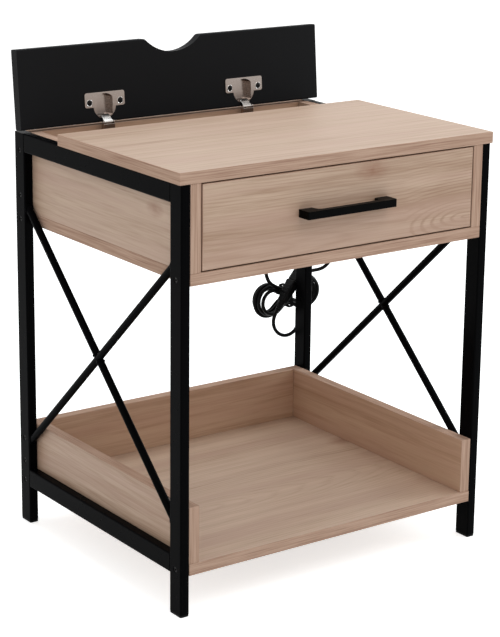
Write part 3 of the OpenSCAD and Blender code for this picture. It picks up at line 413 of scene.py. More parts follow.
# The body narrows towards its neck.
edit(body, "FACE", lambda spots: all(spot.z < mm(BODY_FOOT + 0.2) for spot in spots))
bpy.ops.transform.resize(value=(0.86, 0.7, 1))
bpy.ops.mesh.select_all(action="SELECT")
bpy.ops.mesh.select_mode(type="EDGE")
bpy.ops.mesh.bevel(offset=mm(2.2), segments=4, affect="EDGES")
leave(body)
ribs = []
for side in (-1, 1):
    for step in range(RIBS):
        z = RIB_FOOT + RIB_STEP * step
        low, high = sorted((side * 5.6, side * 6.9))
        rib = add_block("plug_rib", mm(low, -6.6, z), mm(high, 6.6, z + 2.2))
        edit(rib)
        bpy.ops.mesh.bevel(offset=mm(0.6), segments=2, affect="EDGES")
        ribs.append(leave(rib))
plug_place = Matrix.Translation(plug_base / 1000) @ Matrix.Rotation(plug_tilt, 4, "Y")
plug_moulding = moved(joined("plug_moulding", body, neck, *ribs), plug_place)
stands_for(plug_moulding, "plug")
print("plug moulding:", len(plug_moulding.data.polygons), "faces,", len(ribs), "ribs")

# %% [markdown]
# The two blades are brass strips, nickel plated, 12.7 mm apart. Until the first use a
# soft cap covers them. Both start as blocks whose ends are eased in edit mode.

# %% Plug blades, and the cap that covers them until first use
BLADE_Y = 6.35
BLADE_TOP, CAP_TOP = 66.9, 68.4
blades = []
for y in (-BLADE_Y, BLADE_Y):
    blade = add_block("plug_blade", mm(-3.2, y - 0.8, 48), mm(3.2, y + 0.8, BLADE_TOP))
    edit(blade, "EDGE", lambda ends: all(end.z > mm(66) for end in ends))
    bpy.ops.mesh.bevel(offset=mm(0.6), segments=2, affect="EDGES")
    blades.append(leave(blade))
plug_blades = moved(joined("plug_blades", *blades), plug_place)
stands_for(plug_blades, "plug")
cap = add_block("plug_cap", mm(-4.6, -9.2, 50), mm(4.6, 9.2, CAP_TOP))
edit(cap, "FACE", lambda spots: all(spot.z > mm(68) for spot in spots))
bpy.ops.transform.resize(value=(0.8, 0.9, 1))
bpy.ops.mesh.select_all(action="SELECT")
bpy.ops.mesh.select_mode(type="EDGE")
bpy.ops.mesh.bevel(offset=mm(1.4), segments=3, affect="EDGES")
plug_cap = stands_for(moved(leave(cap), plug_place), "plug")
print("plug blades:", len(plug_blades.data.polygons), "faces")

# %% [markdown]
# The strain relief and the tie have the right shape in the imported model, so their own
# faces are merged and their edges eased. A moulding or a strap has no sharp edge.

# %% Strain relief and tie
cord_relief = eased("cord_grip", 0.25)
cord_strap = eased("cord_tie", 0.35, segments=3)

# %% [markdown]
# ## Studio
# The real piece stood on a white sweep under large soft lamps. The floor and the world
# are white to the camera and to gloss only, so the light on the object stays plain, and
# the floor's own paper still takes the object's shadow. Four square lamps hang round the
# object. The one above stands a little behind it, so the top board's gloss sends its
# light to the camera, as a pale veil over the print. That lamp and the strong one on the
# right have the faint blue of daylight.

# %% Colours and nodes
SRGB_KNEE, SRGB_SLOPE = 0.04045, 12.92


def colour(hex_code):
    """An sRGB hex colour as the linear values that a shader takes."""
    parts = [int(hex_code[i:i + 2], 16) / 255 for i in (1, 3, 5)]
    linear = [p / SRGB_SLOPE if p <= SRGB_KNEE else ((p + 0.055) / 1.055) ** 2.4
              for p in parts]
    return linear + [1]


def node(tree, kind, inputs=None, **settings):
    """Adds a shader node with its settings. An input takes a value or another's output."""
    made = tree.nodes.new("ShaderNode" + kind)
    for name, value in settings.items():
        setattr(made, name, value)
    for name, value in (inputs or {}).items():
        if isinstance(value, bpy.types.NodeSocket):
            tree.links.new(value, made.inputs[name])
        else:
            made.inputs[name].default_value = value
    return made


def blank(name):
    """An empty material, and its node tree."""
    material = bpy.data.materials.new(name)
    material.use_nodes = True
    material.node_tree.nodes.clear()
    return material, material.node_tree


def stops(ramp, *marks):
    """Sets a colour ramp's marks: a place from 0 to 1 and a hex colour or a grey."""
    elements = ramp.color_ramp.elements
    while len(elements) < len(marks):
        elements.new(1.0)
    for element, (place, shade) in zip(elements, marks):
        element.position = place
        grey = not isinstance(shade, str)
        element.color = (shade, shade, shade, 1) if grey else colour(shade)


# %% Floor and world
def seen_by_camera(tree):
    """1 for rays from the camera, gloss or glass, and 0 for the light on the object."""
    path = node(tree, "LightPath")
    gloss = node(tree, "Math", {0: path.outputs["Is Camera Ray"],
                                1: path.outputs["Is Glossy Ray"]}, operation="MAXIMUM")
    return node(tree, "Math", {0: gloss.outputs[0],
                               1: path.outputs["Is Transmission Ray"]}, operation="MAXIMUM")


# The glow lifts the lit paper to white, for the camera and for gloss.
FLOOR_SIZE, FLOOR_GAP = 14, 0.0003
FLOOR_GLOW = 0.62
SKY_ON_OBJECT, SKY_SEEN = 0.68, 1.0
floor_z = cad_box[0][2]
bpy.ops.object.select_all(action="DESELECT")
bpy.ops.mesh.primitive_plane_add(size=FLOOR_SIZE, location=(0, 0, floor_z - FLOOR_GAP))
floor = settle("floor")
floor_paint, tree = blank("studio_paper")
paper = node(tree, "BsdfPrincipled", {"Base Color": colour("#f0f0ef"), "Roughness": 0.9,
                                      "Specular IOR Level": 0.1})
glow = node(tree, "Math", {0: seen_by_camera(tree).outputs[0], 1: FLOOR_GLOW},
            operation="MULTIPLY")
white = node(tree, "Emission", {"Color": (1, 1, 1, 1), "Strength": glow.outputs[0]})
both = node(tree, "AddShader", {0: paper.outputs[0], 1: white.outputs[0]})
node(tree, "OutputMaterial", {0: both.outputs[0]})
floor.data.materials.append(floor_paint)

world = bpy.data.worlds.new("studio")
bpy.context.scene.world = world
world.use_nodes = True
tree = world.node_tree
tree.nodes.clear()
shade = node(tree, "MapRange", {0: seen_by_camera(tree).outputs[0], 3: SKY_ON_OBJECT,
                                4: SKY_SEEN})
sky = node(tree, "Background", {"Color": (1, 1, 1, 1), "Strength": shade.outputs[0]})
node(tree, "OutputWorld", {0: sky.outputs[0]})
print("floor at", round(1000 * floor_z, 2), "mm")


# %% Lamps
def soft_box(name, place, target, width, power, tint=(1, 1, 1)):
    """A square lamp that faces a target."""
    lamp = bpy.data.lights.new(name, "AREA")
    lamp.size = width
    lamp.energy = power
    lamp.color = tint
    box = bpy.data.objects.new(name, lamp)
    bpy.context.collection.objects.link(box)
    place, target = Vector(place), Vector(target)
    box.matrix_world = Matrix.Translation(place) @ (
        (target - place).to_track_quat("-Z", "Y").to_matrix().to_4x4()
    )
    return box


SKY_TINT = (0.84, 0.94, 1.0)
soft_box("lamp_above", (0.3, 0.7, 2.4), (0, 0, 0.3), 1.6, 20, SKY_TINT)
soft_box("lamp_left", (-2.4, -0.4, 1.3), (0, 0, 0.35), 1.4, 4)
soft_box("lamp_right", (2.4, -0.6, 1.5), (0, 0, 0.35), 1.4, 26, SKY_TINT)
soft_box("lamp_front", (0.2, -1.9, 2.6), (0, 0, 0.2), 1.5, 15)

# %% [markdown]
# ## Printed oak boards
# The boards are particle board under a melamine paper that is printed with oak. A grain
# that follows the board can be cut from a made-up log: a board is a slice of it, and the
# lines are the log's year rings. A slice that lies along the log has straight lines, and
# where the trunk bends, the rings come out of the face in nested arches, as they do at
# the lower right of the drawer. Streaks of three widths are laid over the rings. The
# boards at the back and the tray's right wall get warmer inks: painted shade, for the
# warm light that bounces about in the tray and behind the case.

# %% Places on a board and in its log
AXES = {"X": 0, "Y": 1, "Z": 2}


def board_places(tree, axes, middle, seed):
    """Places in mm, along, across and through: from the board's middle, and in the log."""
    place = node(tree, "TexCoord").outputs["Object"]
    scaled = node(tree, "VectorMath", {0: place, "Scale": 1000.0}, operation="SCALE")
    parts = node(tree, "SeparateXYZ", {0: scaled.outputs[0]}).outputs
    turned = node(tree, "CombineXYZ", {i: parts[axis] for i, axis in enumerate(axes)})
    board = node(tree, "VectorMath", {0: turned.outputs[0], 1: middle},
                 operation="SUBTRACT")
    log = node(tree, "VectorMath", {0: board.outputs[0], 1: (seed, 2 * seed, -seed)},
               operation="ADD")
    return board.outputs[0], log.outputs[0]


def streaks(tree, log, length, width, detail=2.0):
    """Noise that is drawn out along the grain: its size is in mm."""
    shrunk = node(tree, "VectorMath", {0: log, 1: (1 / length, 1 / width, 1 / width)},
                  operation="MULTIPLY")
    return node(tree, "TexNoise", {"Vector": shrunk.outputs[0], "Scale": 1.0,
                                   "Detail": detail}).outputs


# %% Year rings
STRAY_SIDE, STRAY_UP = 26.0, 18.0  # mm


def ring_radius(tree, board, log, heart, deep, tilt, bend):
    """How far a place is from the log's middle, and how far past the trunk's bend."""
    spot = node(tree, "SeparateXYZ", {0: board}).outputs

    # The log's middle strays slowly along the board.
    drift = streaks(tree, log, 330.0, 110.0)["Color"]
    drift = node(tree, "SeparateXYZ", {0: drift}).outputs
    side = node(tree, "Math", {0: drift[0], 1: STRAY_SIDE, 2: -STRAY_SIDE / 2 - heart},
                operation="MULTIPLY_ADD")
    u = node(tree, "Math", {0: spot[1], 1: side.outputs[0]}, operation="ADD")
    rise = node(tree, "Math", {0: spot[0], 1: tilt, 2: deep}, operation="MULTIPLY_ADD")
    lift = node(tree, "Math", {0: drift[1], 1: STRAY_UP, 2: rise.outputs[0]},
                operation="MULTIPLY_ADD")
    past = node(tree, "Math", {0: spot[0], 1: float(bend[0])}, operation="SUBTRACT")
    past = node(tree, "Math", {0: past.outputs[0], 1: 0.0}, operation="MAXIMUM")
    v = node(tree, "Math", {0: past.outputs[0], 1: -bend[1], 2: lift.outputs[0]},
             operation="MULTIPLY_ADD")
    v = node(tree, "Math", {0: v.outputs[0], 1: 0.0}, operation="MAXIMUM")
    flat = node(tree, "CombineXYZ", {0: u.outputs[0], 1: v.outputs[0], 2: 0.0})
    radius = node(tree, "VectorMath", {0: flat.outputs[0]}, operation="LENGTH")
    return radius.outputs["Value"], past.outputs[0]


def year_rings(tree, board, log, heart=0.0, deep=40.0, tilt=0.02, bend=(900, 0),
               rings=0.35, year=8.0):
    """The rings' dark lines. heart, deep and tilt: how the board lies in the log, in mm.
    bend: where the trunk bends, and how steeply. year: a ring's width in mm."""
    radius, past = ring_radius(tree, board, log, heart, deep, tilt, bend)

    # A ring is wide pale early wood, then a narrow darker line with a ragged edge.
    ragged = node(tree, "Math", {0: streaks(tree, log, 120.0, 9.0, 3.0)["Fac"], 1: 0.8},
                  operation="MULTIPLY")
    years = node(tree, "Math", {0: radius, 1: 1 / year, 2: ragged.outputs[0]},
                 operation="MULTIPLY_ADD")
    ring = node(tree, "Math", {0: years.outputs[0]}, operation="FRACT")
    late = node(tree, "ValToRGB", {0: ring.outputs[0]})
    stops(late, (0.0, 0.1), (0.5, 0.0), (0.82, 1.0), (1.0, 0.1))

    # The lines show most in the bend, within 30 mm of the log's middle.
    inner = node(tree, "Math", {0: radius, 1: -2.5, 2: 75.0}, operation="MULTIPLY_ADD")
    inner = node(tree, "Math", {0: inner.outputs[0], 1: past}, operation="ADD")
    inner = node(tree, "Math", {0: inner.outputs[0], 1: past}, operation="MINIMUM")
    shown = node(tree, "MapRange", {0: inner.outputs[0], 1: 0.0, 2: 25.0, 3: 0.4 * rings,
                                    4: rings})
    return node(tree, "Math", {0: late.outputs[0], 1: shown.outputs[0]},
                operation="MULTIPLY").outputs[0]


# %% A fleck over a knot
def knot_fleck(tree, board, log, fleck):
    """How brown the fleck is, where a knot lies under the face. fleck: its place along
    and across, and its radius across. It is drawn out along the grain."""
    near = node(tree, "VectorMath", {0: board, 1: (fleck[0], fleck[1], 0.0)},
                operation="SUBTRACT")
    near = node(tree, "VectorMath", {0: near.outputs[0], 1: (0.55, 1.0, 0.0)},
                operation="MULTIPLY")
    near = node(tree, "VectorMath", {0: near.outputs[0]}, operation="LENGTH")
    knot = node(tree, "MapRange", {0: near.outputs["Value"], 1: float(fleck[2]) + 0.01,
                                   2: 0.0, 3: 0.0, 4: 1.3})
    return node(tree, "Math", {0: knot.outputs[0],
                               1: streaks(tree, log, 14.0, 5.0)["Fac"]},
                operation="MULTIPLY").outputs[0]


# %% Oak print
# Pale, middle and dark wood, and the clouds. The palest wood stands where the streaks
# and rings add up to LIGHTEST_AT or less.
PLAIN_OAK = ("#c5ab95", "#b69b85", "#97775f", "#b1917f")
# Painted shade: warmer inks, for the warm light bounced about in the tray's recess.
RECESS_SHADE_OAK = ("#c5a58a", "#b6957b", "#977257", "#b18b75")
KNOT_BROWN = "#86583f"
LIGHTEST_AT = 0.46


def oak_print(name, axes, middle, seed, fleck=(0, 0, 0), pale=0.0, span=0.94, dusk=0.0,
              inks=PLAIN_OAK, **cut):
    """Melamine board printed with oak, in a satin press skin. pale: a lighter print; on the
    tray's floor this is painted light.
    span: less makes more contrast. dusk: painted shade, pinker and darker downwards.
    cut: how the board is cut from the log."""
    material, tree = blank(name)
    board, log = board_places(tree, axes, middle, seed)
    across = node(tree, "SeparateXYZ", {0: board}).outputs[1]
    total = year_rings(tree, board, log, **cut)

    # Streaks 2 mm wide for the pores, which are finer in oak, and 8 and 28 mm bands.
    pores = streaks(tree, log, 60.0, 1.8)["Fac"]
    bands = (streaks(tree, log, 240.0, 8.0)["Fac"], streaks(tree, log, 700.0, 28.0)["Fac"])
    for shades, weight in ((pores, 0.6), (bands[0], 0.6), (bands[1], 0.7)):
        total = node(tree, "Math", {0: shades, 1: weight, 2: total},
                     operation="MULTIPLY_ADD").outputs[0]
    # Painted shade: the print can darken towards the lower edge, as the light from above
    # falls off.
    total = node(tree, "Math", {0: across, 1: -dusk / 100, 2: total},
                 operation="MULTIPLY_ADD")
    tone = node(tree, "MapRange", {0: total.outputs[0], 1: LIGHTEST_AT + pale,
                                   2: LIGHTEST_AT + pale + span})
    wood = node(tree, "ValToRGB", {0: tone.outputs[0]})
    stops(wood, (0.0, inks[0]), (0.5, inks[1]), (1.0, inks[2]))

    # Pinkish clouds, as the print has between its yellower streaks. They can grow towards
    # the lower edge, a painted shade.
    cloud = node(tree, "Math", {0: across, 1: -dusk / 50,
                                2: streaks(tree, log, 300.0, 20.0, 3.0)["Fac"]},
                 operation="MULTIPLY_ADD")
    cloud = node(tree, "MapRange", {0: cloud.outputs[0], 1: 0.42, 2: 0.68, 3: 0.0, 4: 0.55})
    wood = node(tree, "Mix", {0: cloud.outputs[0], 6: wood.outputs[0],
                              7: colour(inks[3])}, data_type="RGBA")
    wood = node(tree, "Mix", {0: knot_fleck(tree, board, log, fleck), 6: wood.outputs[2],
                              7: colour(KNOT_BROWN)}, data_type="RGBA")
    emboss = node(tree, "Bump", {"Height": pores, "Strength": 0.1, "Distance": 0.0003})
    shader = node(tree, "BsdfPrincipled", {
        "Base Color": wood.outputs[2], "Roughness": 0.48, "Specular IOR Level": 0.5,
        "Normal": emboss.outputs[0],
    })
    node(tree, "OutputMaterial", {0: shader.outputs[0]})
    return material


# %% Edge strip
LINES_ACROSS, LINES_ALONG = 650.0, 14.0  # to a metre


def oak_strip(name, thin):
    """Printed edge strip 15 mm wide: fine pinkish streaks 1.5 mm apart along the edge,
    70 mm long. Its paper is matt, unlike that of the faces."""
    material, tree = blank(name)
    place = node(tree, "TexCoord").outputs["Object"]
    stretch = [LINES_ALONG, LINES_ALONG, LINES_ALONG]
    stretch[thin] = LINES_ACROSS
    drawn = node(tree, "VectorMath", {0: place, 1: stretch}, operation="MULTIPLY")
    lines = node(tree, "TexNoise", {"Vector": drawn.outputs[0], "Scale": 1.0,
                                    "Detail": 2.0})
    wood = node(tree, "ValToRGB", {0: lines.outputs["Fac"]})
    stops(wood, (0.3, "#bfa28f"), (0.52, "#b29481"), (0.75, "#987867"))
    shader = node(tree, "BsdfPrincipled", {
        "Base Color": wood.outputs[0], "Roughness": 0.6, "Specular IOR Level": 0.0,
    })
    node(tree, "OutputMaterial", {0: shader.outputs[0]})
    return material


strips = [oak_strip("oak_edge_strip_" + axis, AXES[axis]) for axis in "XYZ"]
print("edge strips:", [strip.name for strip in strips])

# %% [markdown]
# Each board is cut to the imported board's size, its edges are eased by 0.7 mm as the
# trimming cutter does, and its narrow faces take the strip instead of the print. Every
# board has its own place in the log, so no two have the same lines.

# %% Cutting the boards
EASE = mm(0.7)


def cut_board(part, grain, seed, **look):
    """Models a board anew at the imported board's place, with eased and stripped edges.
    grain: the axis that it runs along. The board's middle is in mm."""
    low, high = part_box(part)
    size = [b - a for a, b in zip(low, high)]
    thin = size.index(min(size))
    axes = (AXES[grain], 3 - thin - AXES[grain], thin)
    middle = [500 * (low[axis] + high[axis]) for axis in axes]
    piece = add_block(part + "_board", low, high)
    edit(piece)
    bpy.ops.mesh.bevel(offset=EASE, segments=3, affect="EDGES")
    leave(piece)
    face_print = oak_print("oak_melamine_" + part, axes, middle, seed, **look)
    piece.data.materials.append(face_print)
    piece.data.materials.append(strips[thin])
    for face in piece.data.polygons:
        face.material_index = 0 if abs(face.normal[thin]) > 0.99 else 1
    return stands_for(piece, part)


# %% Boards of the case, the tray and the drawer
cut_board("top_panel", "X", 130, heart=-230, deep=60)
# The drawer front darkens and grows pinker downwards: painted shade, for the light falling
# off.
cut_board("drawer_front", "X", 455, heart=-38, deep=12, bend=(100, 0.27), rings=0.42,
          year=4.2, fleck=(44, 42, 17), pale=-0.01, span=0.8, dusk=0.15)
cut_board("case_bottom", "X", 700, heart=90)
cut_board("case_side_left", "Y", 1200, heart=40, tilt=0.06, fleck=(-120, 10, 12))
cut_board("case_side_right", "Y", 1800, heart=-30)
# The back boards and the tray's right wall take the warmer inks: painted shade.
cut_board("case_back", "X", 2400, heart=20, deep=25, inks=RECESS_SHADE_OAK)
cut_board("case_divider", "X", 2900, heart=30)
# The tray's floor takes a much paler print: painted light, for the light reaching it under
# the case.
cut_board("tray_bottom", "X", 3300, heart=-55, deep=16, tilt=0.12, rings=0.45,
          year=5.0, fleck=(216, 56, 20), pale=0.34, span=0.66)
cut_board("tray_side_left", "Y", 3900, heart=60, tilt=0.05, pale=-0.14)
cut_board("tray_side_right", "Y", 4400, heart=-30, inks=RECESS_SHADE_OAK)
cut_board("tray_back", "X", 5000, heart=45, inks=RECESS_SHADE_OAK)
cut_board("drawer_side_left", "Y", 6000, heart=30)
cut_board("drawer_side_right", "Y", 6500, heart=-30)
cut_board("drawer_back", "X", 7000, heart=20)
cut_board("drawer_bottom", "X", 7500, heart=-90)

# %% [markdown]
# ## Steel, plastic and metal finishes
# The frame is welded steel tube under a black powder coat, which melts into a satin skin
# with a fine orange peel. Black plastic differs from it by its duller, pebbled skin. The
# metals are plated: nickel on the hinges, zinc on the runners and screws.

# %% Black finishes
def black_finish(name, hex_code, rough, peel_mm, strength, gloss_level, drawn=(1, 1, 1)):
    """Black coat, lacquer or moulding, with a fine skin that may be drawn out."""
    material, tree = blank(name)
    place = node(tree, "TexCoord").outputs["Object"]
    shaped = node(tree, "VectorMath", {0: place, 1: drawn}, operation="MULTIPLY")
    peel = node(tree, "TexNoise", {"Vector": shaped.outputs[0], "Scale": 1000 / peel_mm,
                                   "Detail": 2.0})
    cloud = node(tree, "TexNoise", {"Vector": place, "Scale": 14.0, "Detail": 3.0})
    gloss = node(tree, "MapRange", {0: cloud.outputs["Fac"], 1: 0.3, 2: 0.7,
                                    3: rough - 0.04, 4: rough + 0.06})
    skin = node(tree, "Bump", {"Height": peel.outputs["Fac"], "Strength": strength,
                               "Distance": 0.0002})
    shader = node(tree, "BsdfPrincipled", {
        "Base Color": colour(hex_code), "Roughness": gloss.outputs[0],
        "Specular IOR Level": gloss_level, "Normal": skin.outputs[0],
    })
    node(tree, "OutputMaterial", {0: shader.outputs[0]})
    print(name, hex_code, "roughness", rough)
    return material


# Powder coat on the tubes: satin, with an orange peel 0.9 mm wide.
steel_coat = black_finish("powder_coated_steel", "#040405", 0.28, 0.9, 0.12, 0.013)
# Lacquer sprayed on the cast handle: its skin is smoother than the powder coat's.
handle_coat = black_finish("handle_lacquer", "#040404", 0.3, 0.9, 0.05, 0.022)
# Moulded nylon, soft PVC and ABS: duller, with the fine pebble of their moulds.
nylon = black_finish("glide_nylon", "#0c0c0d", 0.5, 0.6, 0.1, 0.08)
cord_pvc = black_finish("cord_pvc", "#090909", 0.4, 0.8, 0.05, 0.08)
moulded_pvc = black_finish("moulded_pvc", "#0a0a0b", 0.45, 0.7, 0.1, 0.08)
strip_abs = black_finish("strip_abs", "#101112", 0.4, 0.6, 0.1, 0.15)
face_abs = black_finish("strip_face_abs", "#232528", 0.45, 0.6, 0.1, 0.2)
# Woven nylon: its fuzz and its threads, 0.9 mm apart, take the gloss away.
strap_nylon = black_finish("woven_nylon_strap", "#0d0d0e", 0.8, 0.9, 0.5, 0.06)
# Oxide on hardened screws: a brownish black with a faint oily gloss. On the hinge cups'
# screws this black is also painted shade, for their sunk holes.
black_oxide_and_hole_shade = black_finish("black_oxide_screw_and_hole_shade", "#0f0d0c", 0.3, 0.6, 0.05, 0.15)


# %% Plated metals
STREAKS_ALONG = 60.0  # to a metre


def plated(name, hex_code, rough, streak_mm):
    """Plated metal with faint drawn streaks, 17 mm long, that vary the gloss."""
    material, tree = blank(name)
    place = node(tree, "TexCoord").outputs["Object"]
    fine = 1000 / streak_mm
    drawn = node(tree, "VectorMath", {0: place, 1: (fine, STREAKS_ALONG, fine)},
                 operation="MULTIPLY")
    lines = node(tree, "TexNoise", {"Vector": drawn.outputs[0], "Scale": 1.0,
                                    "Detail": 2.0})
    gloss = node(tree, "MapRange", {0: lines.outputs["Fac"], 1: 0.3, 2: 0.7,
                                    3: rough - 0.06, 4: rough + 0.08})
    shader = node(tree, "BsdfPrincipled", {
        "Base Color": colour(hex_code), "Metallic": 1.0, "Roughness": gloss.outputs[0],
    })
    node(tree, "OutputMaterial", {0: shader.outputs[0]})
    return material


# Nickel is a warm grey: the pressings have it as rolled, and the links are polished
# first. The collars take the bright nickel too: a painted glint round each screw.
nickel = plated("nickel_plated_steel", "#a1968f", 0.2, 0.8)
bright_nickel_and_glint = plated("polished_nickel_and_glint", "#cbc5c0", 0.14, 0.8)
# Zinc is bluish and duller, and the balls are ground and bright.
zinc = plated("zinc_plated_steel", "#b4b7bb", 0.32, 0.8)
bearing_steel = plated("bearing_steel", "#c8cacc", 0.15, 0.8)


def wear(material, *pieces):
    """Gives a finish to pieces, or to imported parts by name."""
    for piece in pieces:
        piece = frame["nodes"][piece] if isinstance(piece, str) else piece
        piece.data.materials.clear()
        piece.data.materials.append(material)


wear(cord_pvc, cord)
wear(moulded_pvc, plug_moulding, plug_cap, cord_relief)
wear(nickel, plug_blades)
wear(strap_nylon, cord_strap)

# %% [markdown]
# ## Steel frames
# The legs and rails are 13 by 25 mm tube with round corners. Their packed faces are
# merged, which lets the corners shade smooth, and the cut ends are eased. The rods are
# welded: a bead of weld runs round each end, and the ripples are the pauses of the torch.
# A bead starts as a torus, and every third ring of its vertices is swollen.

# %% Tubes and rods
for side in ("left_", "right_"):
    for part in ("leg_front", "leg_rear", "rail_top", "rail_bottom"):
        wear(steel_coat, eased(side + part, 0.3))
    for part in ("brace_long", "brace_halves"):
        wear(steel_coat, eased(side + part))
wear(nylon, eased("foot_glides", 0.4))
wear(black_oxide_and_hole_shade, eased("frame_screws", 0.25))

# %% Weld beads
LEG_MID_X = 233.5
ROD_Y, ROD_Z = (-165, 185), (121.5, 443)
ROD_ENDS = [(y, z) for y in ROD_Y for z in ROD_Z]
CROSSING = (sum(ROD_Y) / 2, sum(ROD_Z) / 2)
END_BEAD_R, CROSS_BEAD_R, BEAD_THICK = 5.1, 4.9, 1.1
CROSS_BEAD_OUT, END_BEAD_IN, RIPPLE = 6.0, 0.2, 0.28
BEAD_RINGS = 54
RING_APART = 6.667  # degrees
rod_rise = math.atan2(ROD_Z[1] - ROD_Z[0], ROD_Y[1] - ROD_Y[0])


def weld_bead(place, tilt, stretch, radius):
    """A rippled ring of weld round a rod. tilt turns it about X, stretch lengthens it."""
    bpy.ops.object.select_all(action="DESELECT")
    bpy.ops.mesh.primitive_torus_add(
        major_segments=BEAD_RINGS, minor_segments=8, major_radius=mm(radius),
        minor_radius=mm(BEAD_THICK), location=mm(*place),
        rotation=(math.pi / 2 + tilt, 0, 0),
    )
    bpy.context.object.scale = (1, stretch, 1)
    bead = settle("weld_bead")
    middle = Vector(mm(*place))

    def swollen(ends):
        spot = ends[0] - middle
        return int(math.degrees(math.atan2(spot.z, spot.x)) // RING_APART) % 3 == 0

    edit(bead, "VERT", swollen)
    bpy.ops.transform.shrink_fatten(value=mm(RIPPLE))
    return leave(bead, 60)


for side, name in ((-1, "left_"), (1, "right_")):
    beads = [weld_bead((side * LEG_MID_X, y + math.copysign(END_BEAD_IN, -y), z), 0,
                       1 / math.cos(rod_rise), END_BEAD_R) for y, z in ROD_ENDS]
    for way in (-1, 1):
        along_rod = Vector((0, math.cos(rod_rise), math.sin(rod_rise)))
        along_rod *= CROSS_BEAD_OUT * way
        place = Vector((side * LEG_MID_X, *CROSSING)) + along_rod
        beads.append(weld_bead(place, rod_rise, 1.0, CROSS_BEAD_R))
    welds = joined(name + "welds", *beads)
    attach(welds, "stand")
    wear(steel_coat, welds)
print("weld beads:", 2 * len(beads))

# %% [markdown]
# ## Flap and handle
# The flap is a 14.5 mm board in black melamine, pressed with a shallow wood grain that runs
# along it: fine lines 2 mm apart, drawn 55 mm long. The handle is cast zinc in a satin
# lacquer, and its cast edges are rounder than those of the board. Both shapes are right
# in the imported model, so only their edges are eased.

# %% Flap and handle
black_board = black_finish("black_melamine", "#1a1a1b", 0.4, 2.2, 0.35, 0.03,
                           drawn=(0.04, 1, 1))
flap = eased("flap", 0.5)
wear(black_board, flap)
handle = eased("handle", 0.9, segments=3)
wear(handle_coat, handle)
wear(zinc, "handle_screws")
print("flap:", len(flap.data.polygons), "faces, handle:", len(handle.data.polygons))

# %% [markdown]
# ## Concealed hinges
# The cup, the link and the arm are pressed from sheet steel and nickel plated, so their
# edges are only just broken. The arm's web is folded up in front of its pin, and this
# nose is extruded upwards from a thin block. The cup's screws are sunk pan heads with a
# cross recess, each in a collar that is pressed up out of the flange. The collar is a
# brighter nickel than the flange, a painted glint, and the screw's black is painted
# shade, for its sunk hole. A screw is spun, the cross is cut out of it with two blades,
# and the screw and its collar are copied to four places.

# %% Hinge pressings
HINGE_X = 114
EASED_BY = {"cup": 0.35, "link": 0.25, "arm": 0.15, "plate": 0.3}
NOSE_HALF, NOSE_Y, NOSE_Z = 8.5, (179, 180.2), (530, 532.5)
NOSE_STEPS = ((0, -3.9, 9.5), (0, 0, 5.5))


def arm_nose(side, x):
    """The arm's web, folded up in front of its pin: it follows the cheeks' outline."""
    nose = add_block(f"hinge_{side}_arm_nose", mm(x - NOSE_HALF, NOSE_Y[0], NOSE_Z[0]),
                     mm(x + NOSE_HALF, NOSE_Y[1], NOSE_Z[1]))
    for step in NOSE_STEPS:
        top = max(v.co.z for v in nose.data.vertices)
        edit(nose, "FACE", lambda spots: all(spot.z > top - 1e-5 for spot in spots))
        bpy.ops.mesh.extrude_region_move(TRANSFORM_OT_translate={"value": mm(*step)})
        leave(nose)
    edit(nose)
    bpy.ops.mesh.bevel(offset=mm(0.3), segments=2, affect="EDGES")
    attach(nose, "stand")
    return leave(nose)


for side, x in (("left", -HINGE_X), ("right", HINGE_X)):
    for part, width in EASED_BY.items():
        pressing = eased(f"hinge_{side}_{part}", width)
        wear(bright_nickel_and_glint if part == "link" else nickel, pressing)
    wear(nickel, arm_nose(side, x))

# %% One cross-recessed screw and one collar
screw = lathe("cup_screw_head", [(0, -0.9), (1.75, -0.9), (1.75, 0), (3.8, 0), (3.9, 0.2),
                                 (3.4, 0.55), (2.0, 0.78), (0, 0.82)], steps=32)
for turn in (0, math.pi / 2):
    blade = add_block("recess_cutter", mm(-1.7, -0.42, 0.0), mm(1.7, 0.42, 2))
    moved(blade, Matrix.Rotation(turn + math.pi / 4, 4, "Z"))
    cut = screw.modifiers.new("recess", "BOOLEAN")
    cut.operation = "DIFFERENCE"
    cut.object = blade
    only(screw)
    bpy.ops.object.modifier_apply(modifier="recess")
    bpy.data.objects.remove(blade)
leave(screw, 30)
collar = lathe("cup_screw_collar", [(3.9, -0.3), (4.9, -0.3), (4.75, 0.2), (4.4, 0.45),
                                    (4.0, 0.3), (3.9, -0.3)], steps=32)
print("screw:", len(screw.data.polygons), "faces, collar:", len(collar.data.polygons))

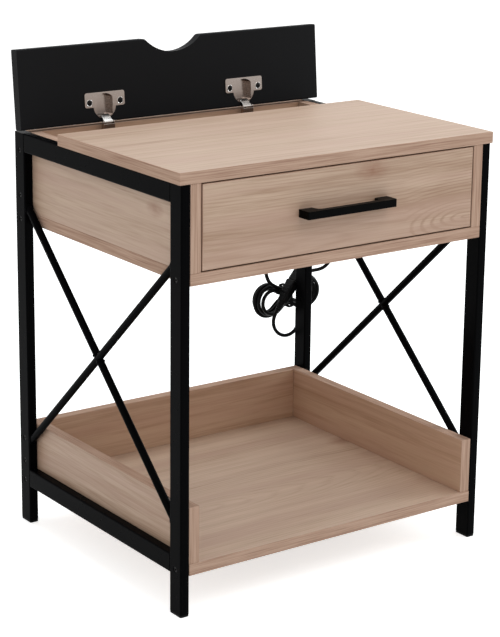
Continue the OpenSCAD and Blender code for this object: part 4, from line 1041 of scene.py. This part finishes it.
# %% Screws and collars in their places
# The open flap's inner face leans back by 5 degrees from its lower corner.
FLAP_LEAN = math.radians(5)
SCREW_HALF_PITCH, SCREW_UP, FLANGE_T = 24, 27, 1.0
up_flap = Vector((0, math.sin(FLAP_LEAN), math.cos(FLAP_LEAN)))
off_flap = Vector((0, -up_flap.z, up_flap.y))
corner = Vector((0, 185.9, 548.7))
across = Vector((1, 0, 0))
facing = Matrix((across, off_flap.cross(across), off_flap)).transposed().to_4x4()
heads, collars = [], []
for hinge_x in (-HINGE_X, HINGE_X):
    for x in (hinge_x - SCREW_HALF_PITCH, hinge_x + SCREW_HALF_PITCH):
        place = (corner + SCREW_UP * up_flap + FLANGE_T * off_flap + x * across) / 1000
        seat = Matrix.Translation(place) @ facing
        heads.append(copied(screw, "cup_screw", seat))
        collars.append(copied(collar, "cup_collar", seat))
bpy.data.objects.remove(screw)
bpy.data.objects.remove(collar)
cup_screws = stands_for(joined("hinge_cup_screw_heads", *heads), "hinge_cup_screws")
# Painted shade: the cup screws are black to stand for their shaded, sunk holes.
wear(black_oxide_and_hole_shade, cup_screws)
cup_collars = joined("hinge_cup_collars", *collars)
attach(cup_collars, body_of(frame["nodes"]["hinge_cup_screws"])[0])
# Painted glint: the collars take the brighter nickel, a bright ring round each screw.
wear(bright_nickel_and_glint, cup_collars)
packed_low, packed_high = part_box("hinge_cup_screws")
print("cup screws, packed:", [round(1000 * v, 1) for v in (*packed_low, *packed_high)])
print("cup screws, here:  ", [round(1000 * f(v.co[i] for v in cup_screws.data.vertices), 1)
                              for f in (min, max) for i in range(3)])

# %% [markdown]
# ## Runners, power strip and small screws
# The runners are rolled from zinc-plated strip, with steel balls in a cage. The power
# strip is a moulded box whose rim is rounded well, and its face plate sits 0.8 mm lower.
# All of them have the right shape in the imported model. The runners' and cages' faces
# are merged to shade smooth, the power strip's edges are eased, and the small screws
# keep their imported mesh.

# %% Runners, power strip and small screws
for side in ("left", "right"):
    for part in ("cabinet", "middle", "drawer"):
        wear(zinc, eased(f"runner_{side}_{part}"))
    wear(bearing_steel, eased(f"runner_{side}_cages", angle=50))
wear(zinc, "runner_screws", "drawer_screws", "hinge_plate_screws")
wear(strip_abs, eased("power_strip_body", 1.2, segments=3))
wear(face_abs, eased("power_strip_sockets", 0.25))
